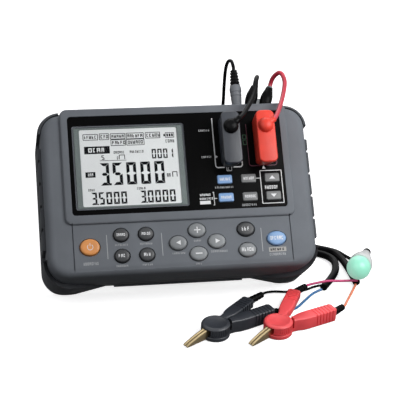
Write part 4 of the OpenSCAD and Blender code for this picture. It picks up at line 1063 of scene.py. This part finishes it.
def jaw(name, side, root_z, reach):
    """A thin pressed jaw, wide at the root and pointed at the tip."""
    outline = [(3, root_z), (3, 8), (10, 8), (17, 6.2), (reach - 2, 3.4), (reach, 2.4),
               (reach, 1.3), (reach - 2, 1.2), (11, 1.2), (9, root_z)]
    thick, from_middle = 2.1, 0.15
    piece = pulled_out(name, [(x, -from_middle * side, z) for x, z in outline],
                       (0, -thick * side, 0))
    bpy.ops.mesh.bevel(offset=0.35, segments=2, affect="EDGES")
    bpy.ops.object.mode_set(mode="OBJECT")
    return piece


drum_r, disc_top, drum_low, drum_high, jaw_reach = 10, 3, 3.3, 10, 27


def clip(colour, pivot, lever_way, body_way, jaw_way, lever_l, body_l, finish):
    """A clip lying on the table; the ways are the turns of its parts about the pivot."""
    name = colour + "_clip"
    lever = name + "_lever"
    upper = drum(name + "_drum", drum_low, drum_high, drum_r)
    arm = handle(name + "_lever_arm", 8, lever_l, 4, drum_high, 5)
    arm.data.transform(Matrix.Rotation(math.radians(lever_way), 4, "Z"))
    carved(upper, arm, "UNION")
    slot_box = block("slot", (5, -2.6, 0), (13, 4.4, 8.3))
    slot_box.data.transform(Matrix.Rotation(math.radians(jaw_way), 4, "Z"))
    carved(upper, slot_box)
    finished(upper, finish, [lever], lever, MILLI @ clip_place(pivot, 0))
    lower = turned(name + "_disc", [(0, 0), (9.6, 0), (drum_r, 0.5), (drum_r, 2.6),
                                    (9.7, disc_top), (0, disc_top)], 64)
    post = turned("post", [(0, 2), (2.4, 2), (2.4, 9.3), (2.1, 9.6), (0, 9.6)], 32)
    carved(lower, post, "UNION")
    arm = handle(name + "_body_arm", 8.5, body_l, 0, 9.5, 6)
    arm.data.transform(Matrix.Translation((0, -2, 0)))
    space = turned("space", [(0, disc_top), (11.2, disc_top), (11.2, 12), (0, 12)], 64)
    carved(arm, space)
    carved(lower, arm, "UNION")
    finished(lower, finish, [name + "_body"], "meter", MILLI @ clip_place(pivot, body_way))
    jaw_place = MILLI @ clip_place(pivot, jaw_way)
    finished(jaw(name + "_fixed_jaw", -1, 3.05, jaw_reach), gilt, ["fixed_jaws"], "meter",
             jaw_place)
    finished(jaw(name + "_moving_jaw", 1, 3.35, jaw_reach), gilt, [colour + "_lever_jaw"], lever,
             jaw_place)


clip_red = moulded("clip_red", (0.93, 0.09, 0.1), 0.4, 1800, 0.00003)
clip_black = moulded("clip_black", (0.028, 0.032, 0.04), 0.38, 1800, 0.00003)
clip("red", (60, -88), 62, 21, 215, 44, 45, clip_red)
clip("black", (17, -86), 45, 24, 212, 41, 46, clip_black)

for name, route, boot_end, sheath, body in (
        ("red_wire", red_wire_route, (80.66, -49.15, 6.8), sheath_pink, "red_clip_lever"),
        ("orange_wire", orange_wire_route, (102.73, -73.74, 4.2), sheath_orange, "meter"),
        ("black_wire", black_wire_route, (45.99, -57.01, 6.8), sheath_black, "black_clip_lever"),
        ("blue_wire", blue_wire_route, (59.84, -69.12, 4.2), sheath_blue, "meter")):
    boot = ribbed(name + "_boot", route[-1], boot_end, 2.3, 2.8, 4, 0.6)
    finished(boot, boot_black, [name], body, MILLI)
    line = smooth_line(route)
    wire = lead(name + "_lead", line, wire_d, sheath, None)
    active(wire)
    bpy.ops.object.convert(target="MESH")
    wire = bpy.context.object
    if body == "meter":
        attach(wire, "meter")
    else:
        tuple(line[bend_steps] * mm)
        tuple(line[-1] * mm)
        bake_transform(wire)
    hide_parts(name)
    declared(line,
             [tuple(point * mm) for point in line])


# Lamp: a glowing green dome of clouded plastic, pressed onto a pale housing with a black
# knob, on the end of its cord.
dome_middle, knob_end = (131.5, -33, 15), (152.3, 11.8, 2.9)
lamp_place = along(dome_middle, knob_end)
dome_r, dome_long, dome_steps, dome_step = 8.7, 8.9, 15, 9.3
dome_profile = [(0, -dome_long)]
for k in range(1, dome_steps):
    a = math.radians(-90 + dome_step * k)
    dome_profile.append((dome_r * math.cos(a), dome_long * math.sin(a)))
dome_profile += [(6.4, 6.6), (0, 6.6)]
glow = Finish("lamp_glow", Roughness=0.35, Emission_Strength=0.68, Coat_Weight=0.2)
cloud = glow.step(glow.noise(90, 2), 0.3, 0.7)
glow.feed("Base Color", glow.mix(cloud, (0.15, 0.48, 0.35, 1), (0.19, 0.54, 0.41, 1)))
glow.feed("Emission Color", glow.mix(cloud, (0.3, 0.62, 0.47, 1), (0.38, 0.7, 0.55, 1)))
dome = turned("lamp_globe", dome_profile, 48)
finished(dome, glow.material, ["lamp_dome"], place=MILLI @ lamp_place)
lamp_white = moulded("lamp_white", (0.6, 0.61, 0.61), 0.4, 1200, 0.00002)
housing_profile = [(0, 6.5), (8.2, 6.5), (8.6, 7.2), (8.6, 11), (8.1, 11.4), (8.1, 12.2),
                   (8.4, 12.6), (7.4, 19), (6.8, 19.4), (6.8, 20), (6.9, 20.4), (5.2, 29),
                   (4.8, 29.3), (4.8, 30), (4.9, 30.4), (3.8, 38), (3.4, 38.5), (0, 38.5)]
housing = turned("lamp_shell", housing_profile, 48)
finished(housing, lamp_white, ["lamp_housing"], place=MILLI @ lamp_place)
knob_profile = [(0, 38.3), (2.9, 38.3), (3.3, 39), (3.3, 44), (3.1, 46), (2.5, 47), (0, 47.3)]
knob = turned("lamp_knob", knob_profile, 32)
finished(knob, boot_black, place=MILLI @ lamp_place)
declared(lamp_line)


# Floor and light: a table, white to the camera and dark to the object, under a dim sky,
# with a lamp close at the right and two large soft ones, at the front left and behind.
deselect()
bpy.ops.mesh.primitive_plane_add(size=12, location=(0, 0, -0.0004))
floor = bpy.context.object
floor.name = "floor"
paper = Finish("floor_paper", Roughness=0.9, Specular_IOR_Level=0.0, Emission_Strength=0.72)
glossy_share = 0.15
seen_ray = (paper.node("ShaderNodeLightPath")
            + paper.node("ShaderNodeLightPath", output="Is Glossy Ray") * glossy_share
            + paper.node("ShaderNodeLightPath", output="Is Transmission Ray"))
white = paper.mix(paper.noise(3), (0.93, 0.93, 0.93, 1), (0.96, 0.96, 0.96, 1))
paper.feed("Base Color", paper.mix(seen_ray, (0.035, 0.035, 0.036, 1), white))
paper.feed("Emission Color", paper.mix(seen_ray, (0, 0, 0, 1), (1, 1, 1, 1)))
floor.data.materials.append(paper.material)

world = bpy.data.worlds.new("studio")
bpy.context.scene.world = world
world.use_nodes = True
tree = world.node_tree
path = tree.nodes.new("ShaderNodeLightPath")
shown = None
for output in ("Is Camera Ray", "Is Glossy Ray", "Is Transmission Ray"):
    ray = Value(tree, path.outputs[output])
    shown = ray if shown is None else shown + ray
sky = tree.nodes.new("ShaderNodeMix")
sky.data_type = "RGBA"
sky.clamp_factor = True
sky.inputs[6].default_value = (0.22, 0.22, 0.23, 1)
sky.inputs[7].default_value = (1, 1, 1, 1)
tree.links.new(shown.socket, sky.inputs[0])
tree.links.new(sky.outputs[2], tree.nodes["Background"].inputs["Color"])
tree.nodes["Background"].inputs["Strength"].default_value = 1
for name, place, aim, size, power in (
        ("key_light", (0.3, -0.25, 0.36), (0.05, 0, 0.07), 0.3, 1.9),
        ("fill_light", (-0.8, -0.7, 1.0), (0, 0, 0.05), 1.0, 3.6),
        ("back_light", (0.1, 0.9, 1.1), (0, 0, 0.05), 1.0, 6)):
    light = bpy.data.lights.new(name, "AREA")
    light.shape = "SQUARE"
    light.size = size
    light.energy = power
    way = Vector(aim) - Vector(place)
    linked(name, light).matrix_world = (Matrix.Translation(place)
                                        @ way.to_track_quat("-Z", "Y").to_matrix().to_4x4())
bpy.context.scene.view_settings.view_transform = "Standard"

deselect()
